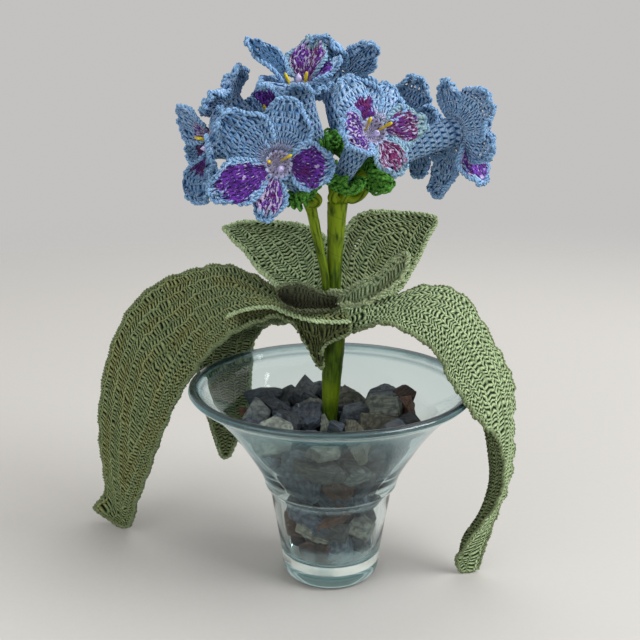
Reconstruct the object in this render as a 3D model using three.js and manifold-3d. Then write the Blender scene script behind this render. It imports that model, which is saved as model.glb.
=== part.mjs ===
// A crocheted cape primrose standing in a flared glass vase of slate chippings.
// Long strap leaves hang over the rim, and trumpet blooms with two upper and three lower
// lobes crown two stems wrapped in green tape. Millimetres, +Z up, and the origin is the
// centre of the vase's underside. -Y is the front.

import * as THREE from 'three';
import { mergeVertices } from 'three/addons/utils/BufferGeometryUtils.js';
import Module from 'manifold-3d';

const wasm = await Module();
wasm.setup();

// Driving dimensions
const FIT_GAP = 0.45;
const PETAL_GAP = 0.55;
const SLIVER = 0.16;
const RIM_STEP = 0.02;
const CAVITY_FLOOR = 10.5;
const VASE_SEGMENTS = 30;
const LEAF_THICKNESS = 1.8;
const PETAL_THICKNESS = 1.3;
const TUBE_SIDES = 8;
const MOUTH_RADIUS = 6.8;
const MOUTH_WALL = 1.5;
const THROAT_DEPTH = 8.0;
const THROAT_FLOOR_RADIUS = 3.1;
const FOOT_RADIUS = 3.2;
const PEDICEL_RADIUS = 1.9;
const CALYX_WALL = 1.4;
const CALYX_RADIUS = 9.2;
const CHIP_SIZE = 17;
const TOP_CHIPS = 12;
const WALL_CHIPS_PER_RING = 4;
const WALL_CHIP_HEIGHTS = [20, 37, 57];
const BED_TOP = 75.0;
const BED_PEAK = 88.0;
const CHIP_SEED = 20;
const BLOOM_SEED = 7;
const CALYX_PHASE = 1.7;
const LOBE_CURL = 36;
const LOBE_RUFFLE = 1.9;

// The glass, as height and radius. The outside tapers to a waist at about 46 mm and then
// flares like a trumpet; the inside follows it, above a thick solid base.
const VASE_OUTSIDE = [
  [0, 19.2], [3, 22.9], [15, 24.6], [44, 29.4], [46.5, 30.6], [50, 31.6], [66, 40.9],
  [76, 47.3], [86, 55.8], [92, 63.4], [95.4, 66.5], [97.2, 65.2],
];
const VASE_INSIDE = [
  [97, 62.4], [92, 58.4], [86, 52.4], [76, 44], [66, 37.6], [50, 28.3], [46, 26.6],
  [14, 21.2], [11, 19.4],
];

// Greens, blues and stone
const COLOURS = {
  glass: [0xbfdfe2, 0.05, 0.0],
  slate: [0x55636d, 0.8, 0.0],
  stem: [0x6f8f12, 0.55, 0.0],
  leaf: [0x6a8a60, 0.9, 0.0],
  youngLeaf: [0x7d8a5c, 0.9, 0.0],
  petal: [0x6f9cc4, 0.9, 0.0],
  stamen: [0xd8b800, 0.5, 0.0],
  pistil: [0xc9c4e6, 0.4, 0.0],
  calyx: [0x3e7a26, 0.9, 0.0],
};

const part = new THREE.Group();

function vec(point) {
  return new THREE.Vector3(point[0], point[1], point[2]);
}

function addMesh(name, geometry, colour) {
  const [hex, roughness, metalness] = COLOURS[colour];
  const material = new THREE.MeshStandardMaterial({ color: hex, roughness, metalness });
  if (colour === 'glass') {
    material.transparent = true;
    material.opacity = 0.35;
  }
  const mesh = new THREE.Mesh(geometry, material);
  mesh.name = name;
  part.add(mesh);
  return mesh;
}

// Seeded draws between 0 and 1, the same on each run
function makeDraws(seed) {
  let state = seed;
  return () => {
    state = (state * 16807) % 2147483647;
    return state / 2147483647;
  };
}

function signedVolume(points, triangles) {
  let volume = 0;
  for (const [a, b, c] of triangles) {
    volume += points[a].dot(new THREE.Vector3().crossVectors(points[b], points[c]));
  }
  return volume / 6;
}

// A closed geometry from points and triangles, turned so that its faces point out
function closedGeometry(points, triangles) {
  const inward = signedVolume(points, triangles) < 0;
  const order = inward ? triangles.map(([a, b, c]) => [a, c, b]) : triangles;
  const geometry = new THREE.BufferGeometry();
  geometry.setAttribute('position', new THREE.Float32BufferAttribute(
    points.flatMap((point) => [point.x, point.y, point.z]), 3));
  geometry.setIndex(order.flat());
  return geometry;
}

function toSolid(geometry) {
  const bare = geometry.clone();
  bare.deleteAttribute('normal');
  bare.deleteAttribute('uv');
  const merged = mergeVertices(bare, 1e-4);
  return new wasm.Manifold(new wasm.Mesh({
    numProp: 3,
    vertProperties: Float32Array.from(merged.attributes.position.array),
    triVerts: Uint32Array.from(merged.index.array),
  }));
}

// The mesh of a solid's largest body, without the slivers and loose scraps of its cuts
function toGeometry(solid) {
  const bodies = solid.simplify(SLIVER).decompose();
  const largest = bodies.reduce((best, body) => (body.volume() > best.volume() ? body : best));
  const mesh = largest.getMesh();
  const geometry = new THREE.BufferGeometry();
  geometry.setAttribute('position', new THREE.BufferAttribute(mesh.vertProperties, 3));
  geometry.setIndex(new THREE.BufferAttribute(mesh.triVerts, 1));
  return geometry;
}

// The unit normal of a surface of two parameters, by small steps
function normalAt(surface, u, v) {
  const step = 0.01;
  const u0 = Math.max(0, u - step);
  const u1 = Math.min(1, u + step);
  const v0 = Math.max(0, v - step);
  const v1 = Math.min(1, v + step);
  const along = surface(u1, v).sub(surface(u0, v));
  const across = surface(u, v1).sub(surface(u, v0));
  return along.cross(across).normalize();
}

// A surface lifted along its own normal by a number of millimetres
function lifted(surface, lift) {
  return (u, v) => surface(u, v).addScaledVector(normalAt(surface, u, v), lift(u, v));
}

// A thin closed blade: the surface's grid moved half a thickness to each side, with both
// faces split along the same diagonals and a rim of quads round the edge. The margin moves
// the rim outwards in the surface.
function blade(surface, thickness, stepsAlong, stepsAcross, margin = 0) {
  const points = [];
  const rows = stepsAlong + 1;
  const columns = stepsAcross + 1;
  const outward = (u, v) => {
    const move = new THREE.Vector3();
    if (margin > 0 && (u === 0 || u === 1)) {
      const inner = surface(u === 0 ? RIM_STEP : 1 - RIM_STEP, v);
      move.add(surface(u, v).sub(inner).setLength(margin));
    }
    if (margin > 0 && (v === 0 || v === 1)) {
      const inner = surface(u, v === 0 ? RIM_STEP : 1 - RIM_STEP);
      move.add(surface(u, v).sub(inner).setLength(margin));
    }
    return move;
  };
  for (const side of [0.5, -0.5]) {
    for (let i = 0; i < rows; i += 1) {
      for (let j = 0; j < columns; j += 1) {
        const u = i / stepsAlong;
        const v = j / stepsAcross;
        const normal = normalAt(surface, u, v);
        points.push(surface(u, v).add(outward(u, v)).addScaledVector(normal, side * thickness));
      }
    }
  }
  const at = (side, i, j) => side * rows * columns + i * columns + j;
  const triangles = [];
  const quad = (a, b, c, d) => triangles.push([a, b, c], [a, c, d]);
  for (let i = 0; i < stepsAlong; i += 1) {
    for (let j = 0; j < stepsAcross; j += 1) {
      quad(at(0, i, j), at(0, i + 1, j), at(0, i + 1, j + 1), at(0, i, j + 1));
      triangles.push([at(1, i, j), at(1, i + 1, j + 1), at(1, i + 1, j)]);
      triangles.push([at(1, i, j), at(1, i, j + 1), at(1, i + 1, j + 1)]);
    }
  }
  for (let i = 0; i < stepsAlong; i += 1) {
    quad(at(0, i + 1, 0), at(0, i, 0), at(1, i, 0), at(1, i + 1, 0));
    quad(at(0, i, stepsAcross), at(0, i + 1, stepsAcross),
      at(1, i + 1, stepsAcross), at(1, i, stepsAcross));
  }
  for (let j = 0; j < stepsAcross; j += 1) {
    quad(at(0, 0, j), at(0, 0, j + 1), at(1, 0, j + 1), at(1, 0, j));
    quad(at(0, stepsAlong, j + 1), at(0, stepsAlong, j),
      at(1, stepsAlong, j), at(1, stepsAlong, j + 1));
  }
  return closedGeometry(points, triangles);
}

// A closed skin over rings of equally many points, each end closed on its ring's centre
function loft(rings) {
  const sides = rings[0].length;
  const points = rings.flat();
  const triangles = [];
  for (let i = 0; i + 1 < rings.length; i += 1) {
    for (let j = 0; j < sides; j += 1) {
      const k = (j + 1) % sides;
      triangles.push([i * sides + j, i * sides + k, (i + 1) * sides + k]);
      triangles.push([i * sides + j, (i + 1) * sides + k, (i + 1) * sides + j]);
    }
  }
  const centreOf = (ring) => ring.reduce((sum, point) => sum.add(point), new THREE.Vector3())
    .divideScalar(sides);
  const first = points.push(centreOf(rings[0])) - 1;
  const last = points.push(centreOf(rings[rings.length - 1])) - 1;
  const lastRing = (rings.length - 1) * sides;
  for (let j = 0; j < sides; j += 1) {
    const k = (j + 1) % sides;
    triangles.push([first, k, j]);
    triangles.push([last, lastRing + j, lastRing + k]);
  }
  return closedGeometry(points, triangles);
}

// Two unit vectors square to a direction, turned as little as they can be from a hint
function squareAxes(direction, hint) {
  const side = new THREE.Vector3().crossVectors(hint, direction).normalize();
  const up = new THREE.Vector3().crossVectors(direction, side).normalize();
  return [side, up];
}

// A round cord of changing radius through a list of points
function taperedCord(points, radii, sides, steps) {
  const path = new THREE.CatmullRomCurve3(points.map(vec));
  const rings = [];
  let hint = new THREE.Vector3(0.31, 0.95, 0.11);
  for (let i = 0; i <= steps; i += 1) {
    const t = i / steps;
    const place = t * (radii.length - 1);
    const before = Math.min(Math.floor(place), radii.length - 2);
    const radius = THREE.MathUtils.lerp(radii[before], radii[before + 1], place - before);
    const centre = path.getPoint(t);
    const [side, up] = squareAxes(path.getTangent(t), hint);
    hint = up;
    const ring = [];
    for (let j = 0; j < sides; j += 1) {
      const angle = (2 * Math.PI * j) / sides;
      ring.push(centre.clone().addScaledVector(side, radius * Math.cos(angle))
        .addScaledVector(up, radius * Math.sin(angle)));
    }
    rings.push(ring);
  }
  return loft(rings);
}

// The vase

function lathed(profile, segments) {
  const outline = profile.map(([height, radius]) => new THREE.Vector2(radius, height));
  const turned = new THREE.LatheGeometry(outline, segments);
  turned.rotateX(Math.PI / 2);
  return turned;
}

function makeVase() {
  const start = [0, 0];
  const floorCentre = [CAVITY_FLOOR, 0];
  const profile = [start, ...VASE_OUTSIDE, ...VASE_INSIDE, [CAVITY_FLOOR, 17.5], floorCentre];
  return toGeometry(toSolid(lathed(profile, VASE_SEGMENTS)));
}

function cavityRadius(height) {
  const inside = [...VASE_INSIDE].reverse();
  for (let i = 0; i + 1 < inside.length; i += 1) {
    const [low, lowRadius] = inside[i];
    const [high, highRadius] = inside[i + 1];
    if (height <= high) {
      const share = Math.max(0, (height - low) / (high - low));
      return lowRadius + (highRadius - lowRadius) * share;
    }
  }
  return inside[inside.length - 1][1];
}

// The stems

const MAIN_STEM = {
  points: [[-1, 0, 12], [-0.8, 0, 50], [-0.5, 0, 80], [0.2, 0, 98], [1.2, 0, 117],
    [1, 0, 128], [0.8, 0, 138], [1.6, 0, 160], [2.6, 0, 181]],
  radii: [3.4, 3.5, 3.6, 4.5, 5.2, 4.9, 3.3, 3.5, 4.6],
};
const SECOND_STEM = {
  points: [[-1.6, -1.6, 124], [-2.4, -3.2, 141], [-3.4, -4.2, 152], [-5.2, -4.4, 160],
    [-7.2, -4.2, 170], [-9, -3.8, 179]],
  radii: [2.2, 1.8, 1.9, 2.0, 2.7, 3.2],
};
const LEFT_FORK = [-9, -3.8, 178];
const MIDDLE_FORK = [1.6, 0, 180];
const RIGHT_FORK = [3.6, 0, 180];

// The blooms. The throat is the centre of the mouth, facing is the way that the bloom
// looks, top is the side of its two upper lobes, and foot is where its tube ends. Each lobe
// has its turn from the top in degrees, its reach from the mouth, its half width, its tilt
// from the plane of the mouth in degrees and, where it has one, a twist about its own
// length. The first two lobes are the upper ones.
const BLOOMS = [
  { name: 'front_left', throat: [-22, -33, 201], facing: [0.24, -0.96, 0.08],
    top: [-0.25, 0, 1], foot: [-11, -13, 188], fork: LEFT_FORK,
    lobes: [[24, 20, 13, 10], [-36, 23, 12.5, 8], [108, 16, 12, 22], [-98, 24, 10.5, 5],
      [-150, 18.5, 8.5, 0]] },
  { name: 'front_right', throat: [17, -27, 214], facing: [0.4, -0.84, 0.36],
    top: [0.1, 0.3, 0.9], foot: [3, -11, 191], fork: MIDDLE_FORK,
    lobes: [[20, 17, 10, 0], [-32, 18.5, 12.5, 0], [70, 18.5, 9.5, 8], [-116, 16, 13, 26],
      [142, 14, 9, 10]] },
  { name: 'crown', throat: [-14.5, 0, 232], facing: [-0.1, -0.26, 0.96],
    top: [-0.2, -1, 0], foot: [-4, 3, 203], fork: MIDDLE_FORK,
    lobes: [[40, 14, 9.5, 24], [-36, 20, 10, 18], [96, 24, 10, 60], [-102, 15, 9, 40],
      [-162, 19, 13, 58]] },
  { name: 'crown_back', throat: [4, 20, 232], facing: [0.26, 0.78, 0.58],
    top: [0.1, -0.5, 1], foot: [6, 10, 204], fork: MIDDLE_FORK,
    lobes: [[26, 19, 10.5, 6], [-30, 20, 8, 12], [104, 15, 10, 10], [-104, 15, 10, 10],
      [180, 14, 9, 10]] },
  { name: 'left_upper', throat: [-45, 7, 222], facing: [-0.74, 0.16, 0.6],
    top: [0.5, 0, 1], foot: [-19, 4, 200], fork: LEFT_FORK,
    lobes: [[30, 18, 8, 30], [-34, 19, 9.5, 34], [94, 14, 9.5, 30], [-110, 15, 10, 15],
      [178, 7, 8, -10]] },
  { name: 'left_lower', throat: [-53, -3, 207], facing: [-0.92, -0.26, 0.02],
    top: [-0.1, 0, 1], foot: [-22, -5, 193], fork: LEFT_FORK,
    lobes: [[36, 12, 8.5, -10], [-42, 17, 12, 50], [118, 19, 12, 18], [-98, 16, 9.5, 34],
      [176, 20, 10.5, 24]] },
  { name: 'left_back', throat: [-26.5, 14, 216], facing: [-0.12, -0.66, 0.74],
    top: [-1, 0, -0.28], foot: [-12, 13, 197], fork: LEFT_FORK,
    lobes: [[33, 12, 8, 20], [-33, 10, 8, 20], [96, 16, 11, 30], [-106, 10, 8, 20],
      [166, 14, 9, 30]] },
  { name: 'right', throat: [53, 2, 211.5], facing: [0.8, 0.58, 0.1],
    top: [0.1, 0, 1], foot: [18, -4, 196], fork: RIGHT_FORK,
    lobes: [[-52, 20, 13, 8], [6, 20, 7.5, 0], [-104, 17, 11, 14], [172, 23, 8.5, -8],
      [-148, 20, 9.5, 22, -78]] },
  { name: 'right_back', throat: [32, 26, 214], facing: [0.26, 0.86, 0.42],
    top: [0.1, -0.4, 1], foot: [15, 8, 203], fork: RIGHT_FORK,
    lobes: [[38, 15, 9, 8], [-12, 19, 10.5, 5], [104, 14, 9.5, 10], [-80, 15, 9, 10],
      [180, 13, 9, 10]] },
  { name: 'right_lower', throat: [38.5, 16, 207.5], facing: [0.66, 0.72, 0.04],
    top: [0.1, 0.2, 1], foot: [17, 5, 189], fork: RIGHT_FORK,
    lobes: [[33, 10, 8, 15], [-33, 10, 8, 15], [106, 11, 8, 18], [-100, 13, 9, 6],
      [180, 10.5, 8, 10]] },
];

function bloomAxes(bloom) {
  const facing = vec(bloom.facing).normalize();
  const right = new THREE.Vector3().crossVectors(vec(bloom.top), facing).normalize();
  const top = new THREE.Vector3().crossVectors(facing, right).normalize();
  return { right, top, facing };
}

function bloomPlacer(bloom) {
  const { right, top, facing } = bloomAxes(bloom);
  const throat = vec(bloom.throat);
  return (x, y, z) => throat.clone().addScaledVector(right, x).addScaledVector(top, y)
    .addScaledVector(facing, z);
}

// The tube's path from the foot to just under the mouth
function tubePath(bloom) {
  const place = bloomPlacer(bloom);
  return new THREE.QuadraticBezierCurve3(vec(bloom.foot), place(0, 0, -13), place(0, 0, -2));
}

// The funnel: rings along the tube's path that widen to the mouth, then a cup inside it
function funnel(bloom, grow) {
  const { top } = bloomAxes(bloom);
  const place = bloomPlacer(bloom);
  const path = tubePath(bloom);
  const ringAt = (centre, direction, radius) => {
    const [side, up] = squareAxes(direction, top);
    return Array.from({ length: TUBE_SIDES }, (_, j) => {
      const angle = (2 * Math.PI * j) / TUBE_SIDES;
      return centre.clone().addScaledVector(side, radius * Math.sin(angle))
        .addScaledVector(up, radius * Math.cos(angle));
    });
  };
  const outer = [[0, FOOT_RADIUS], [0.35, 4.6], [0.7, 5.5], [1, 6.3]];
  const rings = outer.map(([t, radius]) => ringAt(
    path.getPoint(t), path.getTangent(t), radius + grow));
  const { facing } = bloomAxes(bloom);
  rings.push(ringAt(place(0, 0, 0), facing, MOUTH_RADIUS + grow));
  if (grow === 0) {
    rings.push(ringAt(place(0, 0, 0), facing, MOUTH_RADIUS - MOUTH_WALL));
    rings.push(ringAt(place(0, 0, -THROAT_DEPTH), facing, THROAT_FLOOR_RADIUS));
  }
  return loft(rings);
}

// A fan-shaped lobe in polar form round the throat: it leaves the mouth's wall, widens to
// its full width at about two thirds of its reach, rounds off at the end, curls back a
// little and waves along its edge
function lobeSurface(bloom, lobe, phase) {
  const place = bloomPlacer(bloom);
  const [turn, reach, halfWidth, tilt, twist = 0] = lobe;
  const rootRadius = MOUTH_RADIUS - MOUTH_WALL / 2;
  return (u, v) => {
    const across = 2 * v - 1;
    const widening = Math.sin(Math.PI * (0.08 + 0.6 * u)) ** 0.8;
    const length = reach * u * (1 - 0.22 * across ** 4 * u);
    const slope = THREE.MathUtils.degToRad(tilt + LOBE_CURL * (0.3 - 0.5 * u));
    const twisted = THREE.MathUtils.degToRad(twist * Math.min(1, 2 * u));
    const radius = rootRadius + length * Math.cos(slope);
    const offset = halfWidth * widening * across;
    const spread = (offset * Math.cos(twisted)) / (radius + 2.5);
    const angle = THREE.MathUtils.degToRad(turn) + spread;
    const ruffle = LOBE_RUFFLE * u * (0.35 + 0.65 * across * across)
      * Math.sin(2.4 * Math.PI * across + phase);
    const rise = length * Math.sin(slope) + ruffle + offset * Math.sin(twisted);
    return place(radius * Math.sin(angle), radius * Math.cos(angle), rise);
  };
}

function makeBloom(bloom, index, grow = 0) {
  const draw = makeDraws(BLOOM_SEED + 31 * index);
  let solid = toSolid(funnel(bloom, grow));
  for (const lobe of bloom.lobes) {
    const surface = lobeSurface(bloom, lobe, 2 * Math.PI * draw());
    solid = solid.add(toSolid(blade(surface, PETAL_THICKNESS + 2 * grow, 3, 4, grow)));
  }
  return solid;
}

// Two stamens on one bent wire whose bend lies on the throat's floor
function makeStamens(bloom) {
  const place = bloomPlacer(bloom);
  const half = [[4.8, 2.5, 6.2], [4, 2.1, 3], [2.8, 1.4, -0.9], [1.9, 0.9, -4.9]];
  const wire = [...half, [0, 0.8, -THROAT_DEPTH + 0.9],
    ...half.map(([x, y, z]) => [-x, y, z]).reverse()];
  const radii = [0.6, 1.15, 0.7, 0.5, 0.5, 0.5, 0.7, 1.15, 0.6];
  const points = wire.map(([x, y, z]) => place(x, y, z).toArray());
  return taperedCord(points, radii, 4, 8);
}

// The pistil: a thin stalk that ends in a long bead
function makePistil(bloom) {
  const place = bloomPlacer(bloom);
  const stalk = [[0, -1.2, -THROAT_DEPTH + 0.4], [0, -1.3, -1], [0, -1.6, 0.6],
    [0, -1.9, 2.6], [0, -2.1, 4.4]];
  const radii = [0.5, 0.6, 1.7, 1.8, 0.9];
  return taperedCord(stalk.map(([x, y, z]) => place(x, y, z).toArray()), radii, 4, 4);
}

// The pedicel's path leaves its fork upwards and ends just under the bloom's foot
function pedicelPoints(bloom) {
  const foot = vec(bloom.foot);
  const fork = vec(bloom.fork);
  const direction = tubePath(bloom).getTangent(0);
  const end = foot.clone().addScaledVector(direction, -FIT_GAP);
  const before = foot.clone().addScaledVector(direction, -7);
  const rise = foot.clone().sub(fork);
  const first = fork.clone().add(new THREE.Vector3(rise.x * 0.18, rise.y * 0.18, rise.z * 0.32));
  const second = fork.clone().lerp(before, 0.62);
  return [fork, first, second, before, end].map((point) => point.toArray());
}

function stemSolid(grow) {
  const grown = (radii) => radii.map((radius) => radius + grow);
  let solid = toSolid(taperedCord(MAIN_STEM.points, grown(MAIN_STEM.radii), 8, 12));
  solid = solid.add(toSolid(taperedCord(SECOND_STEM.points, grown(SECOND_STEM.radii), 7, 7)));
  const radii = [2.9, 2.4, 2.0, PEDICEL_RADIUS, PEDICEL_RADIUS];
  for (const bloom of BLOOMS) {
    solid = solid.add(toSolid(taperedCord(pedicelPoints(bloom), grown(radii), 5, 3)));
  }
  return solid;
}

// A crocheted calyx: a wavy frilled cup round the pedicel's end and the tube's foot. Its
// section is a list of height, radius and wave, from the inside round to the outside.
function calyxGeometry(bloom, phase, grow = 0) {
  const centre = vec(bloom.foot);
  const direction = tubePath(bloom).getTangent(0);
  const [side, up] = squareAxes(direction, new THREE.Vector3(0.2, 0.9, 0.4));
  const section = [
    [-3.2, PEDICEL_RADIUS + FIT_GAP + 0.1, 0], [0.8, 4.3, 0.1], [4.8, CALYX_RADIUS, 1.7],
    [2.8, CALYX_RADIUS + 0.9, 1.7], [-1.2, 4.2 + CALYX_WALL, 0.1],
    [-3.4, PEDICEL_RADIUS + FIT_GAP + CALYX_WALL, 0],
  ];
  const around = 10;
  const count = section.length;
  const points = [];
  for (let i = 0; i < count; i += 1) {
    const before = section[(i + count - 1) % count];
    const after = section[(i + 1) % count];
    const run = new THREE.Vector2(after[0] - before[0], after[1] - before[1]).normalize();
    const [height, radius, wave] = section[i];
    for (let j = 0; j < around; j += 1) {
      const angle = (2 * Math.PI * j) / around;
      const frill = wave * Math.sin(4 * angle + phase) + 0.5 * wave * Math.sin(7 * angle);
      const distance = radius - grow * run.x;
      points.push(centre.clone()
        .addScaledVector(direction, height + frill + grow * run.y)
        .addScaledVector(side, distance * Math.cos(angle))
        .addScaledVector(up, distance * Math.sin(angle)));
    }
  }
  const triangles = [];
  for (let i = 0; i < count; i += 1) {
    const next = (i + 1) % count;
    for (let j = 0; j < around; j += 1) {
      const k = (j + 1) % around;
      triangles.push([i * around + j, i * around + k, next * around + k]);
      triangles.push([i * around + j, next * around + k, next * around + j]);
    }
  }
  return closedGeometry(points, triangles);
}

// The leaves. Each station has a row of points from the near edge to the far edge; the two
// long leaves have four, so that the near edge can hang or roll over.
const LEAVES = [
  { name: 'leaf_left', colour: 'leaf', steps: [18, 5], ripple: 0.8, waves: 5, stations: [
    [[8, -7.5, 122.5], [8, -7.2, 128.6], [6.5, -5, 131], [5.5, -2, 132.5]],
    [[0, -9, 119.5], [-0.5, -10.3, 129.3], [-1, -8.2, 131.5], [-1, -6, 133]],
    [[-4.5, -8.3, 106], [-7, -11, 130], [-9, -5, 131.5], [-8.5, 2.5, 133.5]],
    [[-8.5, -8.8, 112], [-12, -11.4, 131], [-14, -2, 131.5], [-14, 9, 134.5]],
    [[-14, -9.5, 124], [-18, -11.2, 132.6], [-20, 2, 132], [-22, 17, 136]],
    [[-24, -10.8, 131.5], [-26.5, -7, 134.6], [-32, 10, 135], [-38, 30, 140.5]],
    [[-40.5, -5.2, 125.5], [-43, 1.5, 130.4], [-49, 19, 136.4], [-55, 40, 144]],
    [[-52.5, 7.5, 113.5], [-56, 14, 119.5], [-64, 30, 130.5], [-70, 46, 140.5]],
    [[-65.5, 21.5, 98], [-69.5, 26.5, 103.5], [-79.5, 38, 117], [-88, 50, 132]],
    [[-77.5, 24, 79.5], [-82.5, 29, 85.5], [-94, 41, 100.5], [-103.5, 52, 118]],
    [[-85, 26, 61], [-90.5, 31, 65.5], [-103, 43, 77.5], [-115.5, 53, 95]],
    [[-93, 28.5, 41], [-98, 33.5, 44], [-110, 44.5, 52], [-121.5, 53, 66]],
    [[-101.5, 32.5, 21], [-105, 36.5, 22.5], [-113.5, 45, 28], [-123, 53, 40]],
    [[-107, 38, 3.4], [-109.5, 40.5, 3.6], [-115, 46, 5.6], [-122.5, 52, 15]],
    [[-113, 42, 1.1], [-115, 43.8, 1.4], [-120, 47.4, 2.6], [-128.5, 50, 7.4]],
  ] },
  { name: 'leaf_right', colour: 'leaf', steps: [18, 5], ripple: 0.7, waves: 5, stations: [
    [[0.5, -7.4, 133.4], [0.5, -7, 134.4], [0.7, -6.7, 135.4], [1, -6.2, 136.4]],
    [[8.5, -4.5, 123], [8.6, -3.8, 126], [8.5, -2.8, 130], [8, -1.5, 135]],
    [[15, -9, 126.4], [15, -6, 128.2], [14.8, -1, 131], [13.5, 5, 134]],
    [[22, -12, 128.8], [22.5, -6, 130], [23, 3, 131.4], [23.5, 14, 133]],
    [[35, -17, 125.4], [38, -10, 130.5], [42.5, 4, 134.3], [46.5, 23, 137]],
    [[46.5, -23, 118.6], [50, -15, 124.5], [57, 0, 129.8], [63, 20, 133]],
    [[52.5, -29.5, 106], [58, -21, 111], [68, -6, 114.4], [77, 13, 114]],
    [[58, -34, 99.4], [64, -26.5, 101.5], [75, -11, 101.8], [83.5, 8, 100]],
    [[64.5, -37, 91.6], [66, -34, 90.4], [78.5, -15, 91], [86.5, 4, 90]],
    [[73, -35, 80], [68.5, -36, 78], [80, -18, 76], [87, 2, 74]],
    [[77, -26.5, 61], [71.5, -28.5, 60], [80.5, -15, 59.5], [86.5, 0.5, 58]],
    [[74.5, -18.5, 41], [69, -20.5, 40], [77.5, -11, 40], [84, -1.5, 40.5]],
    [[65.5, -12.6, 22], [63, -12, 21.5], [71, -8.5, 22.5], [78, -4, 25]],
    [[61.4, -8, 8.5], [63, -7.6, 8.8], [68, -6.6, 10], [73.8, -5, 12.6]],
    [[63.6, -5.6, 1.1], [65, -5.3, 1], [68.5, -4.8, 1.1], [72.2, -4, 2.2]],
  ] },
  { name: 'leaf_back_low', colour: 'leaf', steps: [11, 4], ripple: 0.7, waves: 4, stations: [
    [[3.2, 3.6, 119.4], [-0.6, 3.6, 120], [-2.6, 1.4, 120.6]],
    [[-1.6, 10.4, 121.6], [-6.4, 9, 122], [-9, 5.2, 122]],
    [[-8, 18, 124], [-14, 14, 124.4], [-19, 8, 124]],
    [[-21, 34, 122.5], [-29, 28, 122], [-35, 20, 119.5]],
    [[-33, 49, 112.5], [-44, 42, 113], [-51, 34, 112]],
    [[-41, 60, 98], [-54, 54, 101], [-64, 47, 104]],
    [[-44, 66, 80], [-58, 62, 82], [-69, 54, 86]],
    [[-46, 69, 60], [-58, 66.5, 60], [-67, 60, 63]],
    [[-51, 70, 42], [-58, 68, 41], [-63, 65, 43]],
    [[-56, 69, 30], [-58, 68.5, 29], [-60, 68, 30]],
  ] },
  { name: 'leaf_back_left', colour: 'leaf', steps: [11, 5], ripple: 0.9, waves: 4, stations: [
    [[-2.2, 0.8, 136.6], [-1, 2.6, 137.2], [0.8, 2.8, 139.4]],
    [[-10.5, 3.6, 138.2], [-6.4, 6.4, 138.6], [-1, 7, 142]],
    [[-22.5, 10, 139.2], [-12, 13, 141.5], [-0.6, 14, 151]],
    [[-31.5, 19.5, 144.2], [-18, 25, 148.4], [-1.5, 24, 159]],
    [[-40.5, 29.5, 152.2], [-26, 36, 156.8], [-11, 34, 164.2]],
    [[-48.2, 36, 159.2], [-38, 40.5, 161.8], [-27, 40, 165.6]],
    [[-53, 40, 163], [-49, 42.5, 163.8], [-44, 42, 165.7]],
  ] },
  { name: 'leaf_back_right', colour: 'leaf', steps: [11, 5], ripple: 0.9, waves: 4, stations: [
    [[3.4, 1, 134.4], [2.8, 2.6, 136.6], [1.4, 2.8, 140]],
    [[9.4, 2.8, 134.8], [7.2, 6, 138], [2.6, 7, 144]],
    [[19.5, 6, 135], [13, 13, 141], [3.4, 14.4, 151.2]],
    [[31.5, 14, 138.4], [21, 23.5, 147.6], [6.4, 24, 161.8]],
    [[39.5, 24, 146.8], [29, 34, 156.4], [14, 34, 170]],
    [[44.6, 32, 154.8], [38, 40, 163], [28, 41.4, 170.6]],
    [[49, 38, 161.4], [46.4, 42, 166], [42.5, 43, 169.4]],
    [[52.4, 41.5, 166.2], [52, 42, 167], [51, 42.6, 168.4]],
  ] },
  { name: 'leaf_small_left', colour: 'youngLeaf', steps: [8, 4], ripple: 0.4, waves: 2, stations: [
    [[3, -8.6, 134.6], [3, -8.8, 137.4], [3, -8.6, 140.6]],
    [[-3, -9.2, 134.2], [-3.6, -9.4, 137.4], [-4, -8.4, 141.4]],
    [[-9.6, -15.5, 135.6], [-9.4, -15, 140.2], [-8.8, -9.6, 143.8]],
    [[-15.8, -19.2, 137], [-15.6, -20, 142], [-14, -13, 146.4]],
    [[-21.4, -19, 140], [-21.6, -19.6, 143.4], [-20.4, -15.6, 146.8]],
    [[-23.4, -18, 143.4], [-23.6, -18, 144.8], [-23, -16.8, 146.2]],
  ] },
  { name: 'leaf_small_right', colour: 'youngLeaf', steps: [9, 4], ripple: 0.4, waves: 2, stations: [
    [[-1, -6.2, 137], [-1, -6.3, 139.4], [-1, -6, 142]],
    [[4.6, -9, 136.6], [6, -6, 136.6], [6.4, -3.4, 141]],
    [[14.6, -18, 139.5], [14, -13, 136.8], [13.5, -6, 146]],
    [[22.4, -18.6, 143.4], [22, -13.5, 142], [20.6, -8, 149]],
    [[30, -17, 150], [29.8, -13.6, 150], [27.4, -9.6, 156.6]],
    [[33.8, -13.4, 158.6], [33.6, -12.4, 158.8], [32.6, -11.4, 160.4]],
  ] },
];

// A surface through the points of each station, smooth along the leaf and across it
function leafSurface(leaf) {
  const columns = leaf.stations[0].map((_, column) => new THREE.CatmullRomCurve3(
    leaf.stations.map((station) => vec(station[column]))));
  const plain = (u, v) => new THREE.CatmullRomCurve3(
    columns.map((curve) => curve.getPoint(u))).getPoint(v);
  const ripple = (u, v) => {
    const edge = (2 * v - 1) ** 2;
    const fade = Math.sin(Math.PI * u) ** 0.5 || 0;
    return leaf.ripple * edge * fade * Math.sin(2 * Math.PI * leaf.waves * u + 4 * v);
  };
  return lifted(plain, ripple);
}

// The chippings: slabs with jittered corners on a core, cut to the inside of the glass

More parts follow.
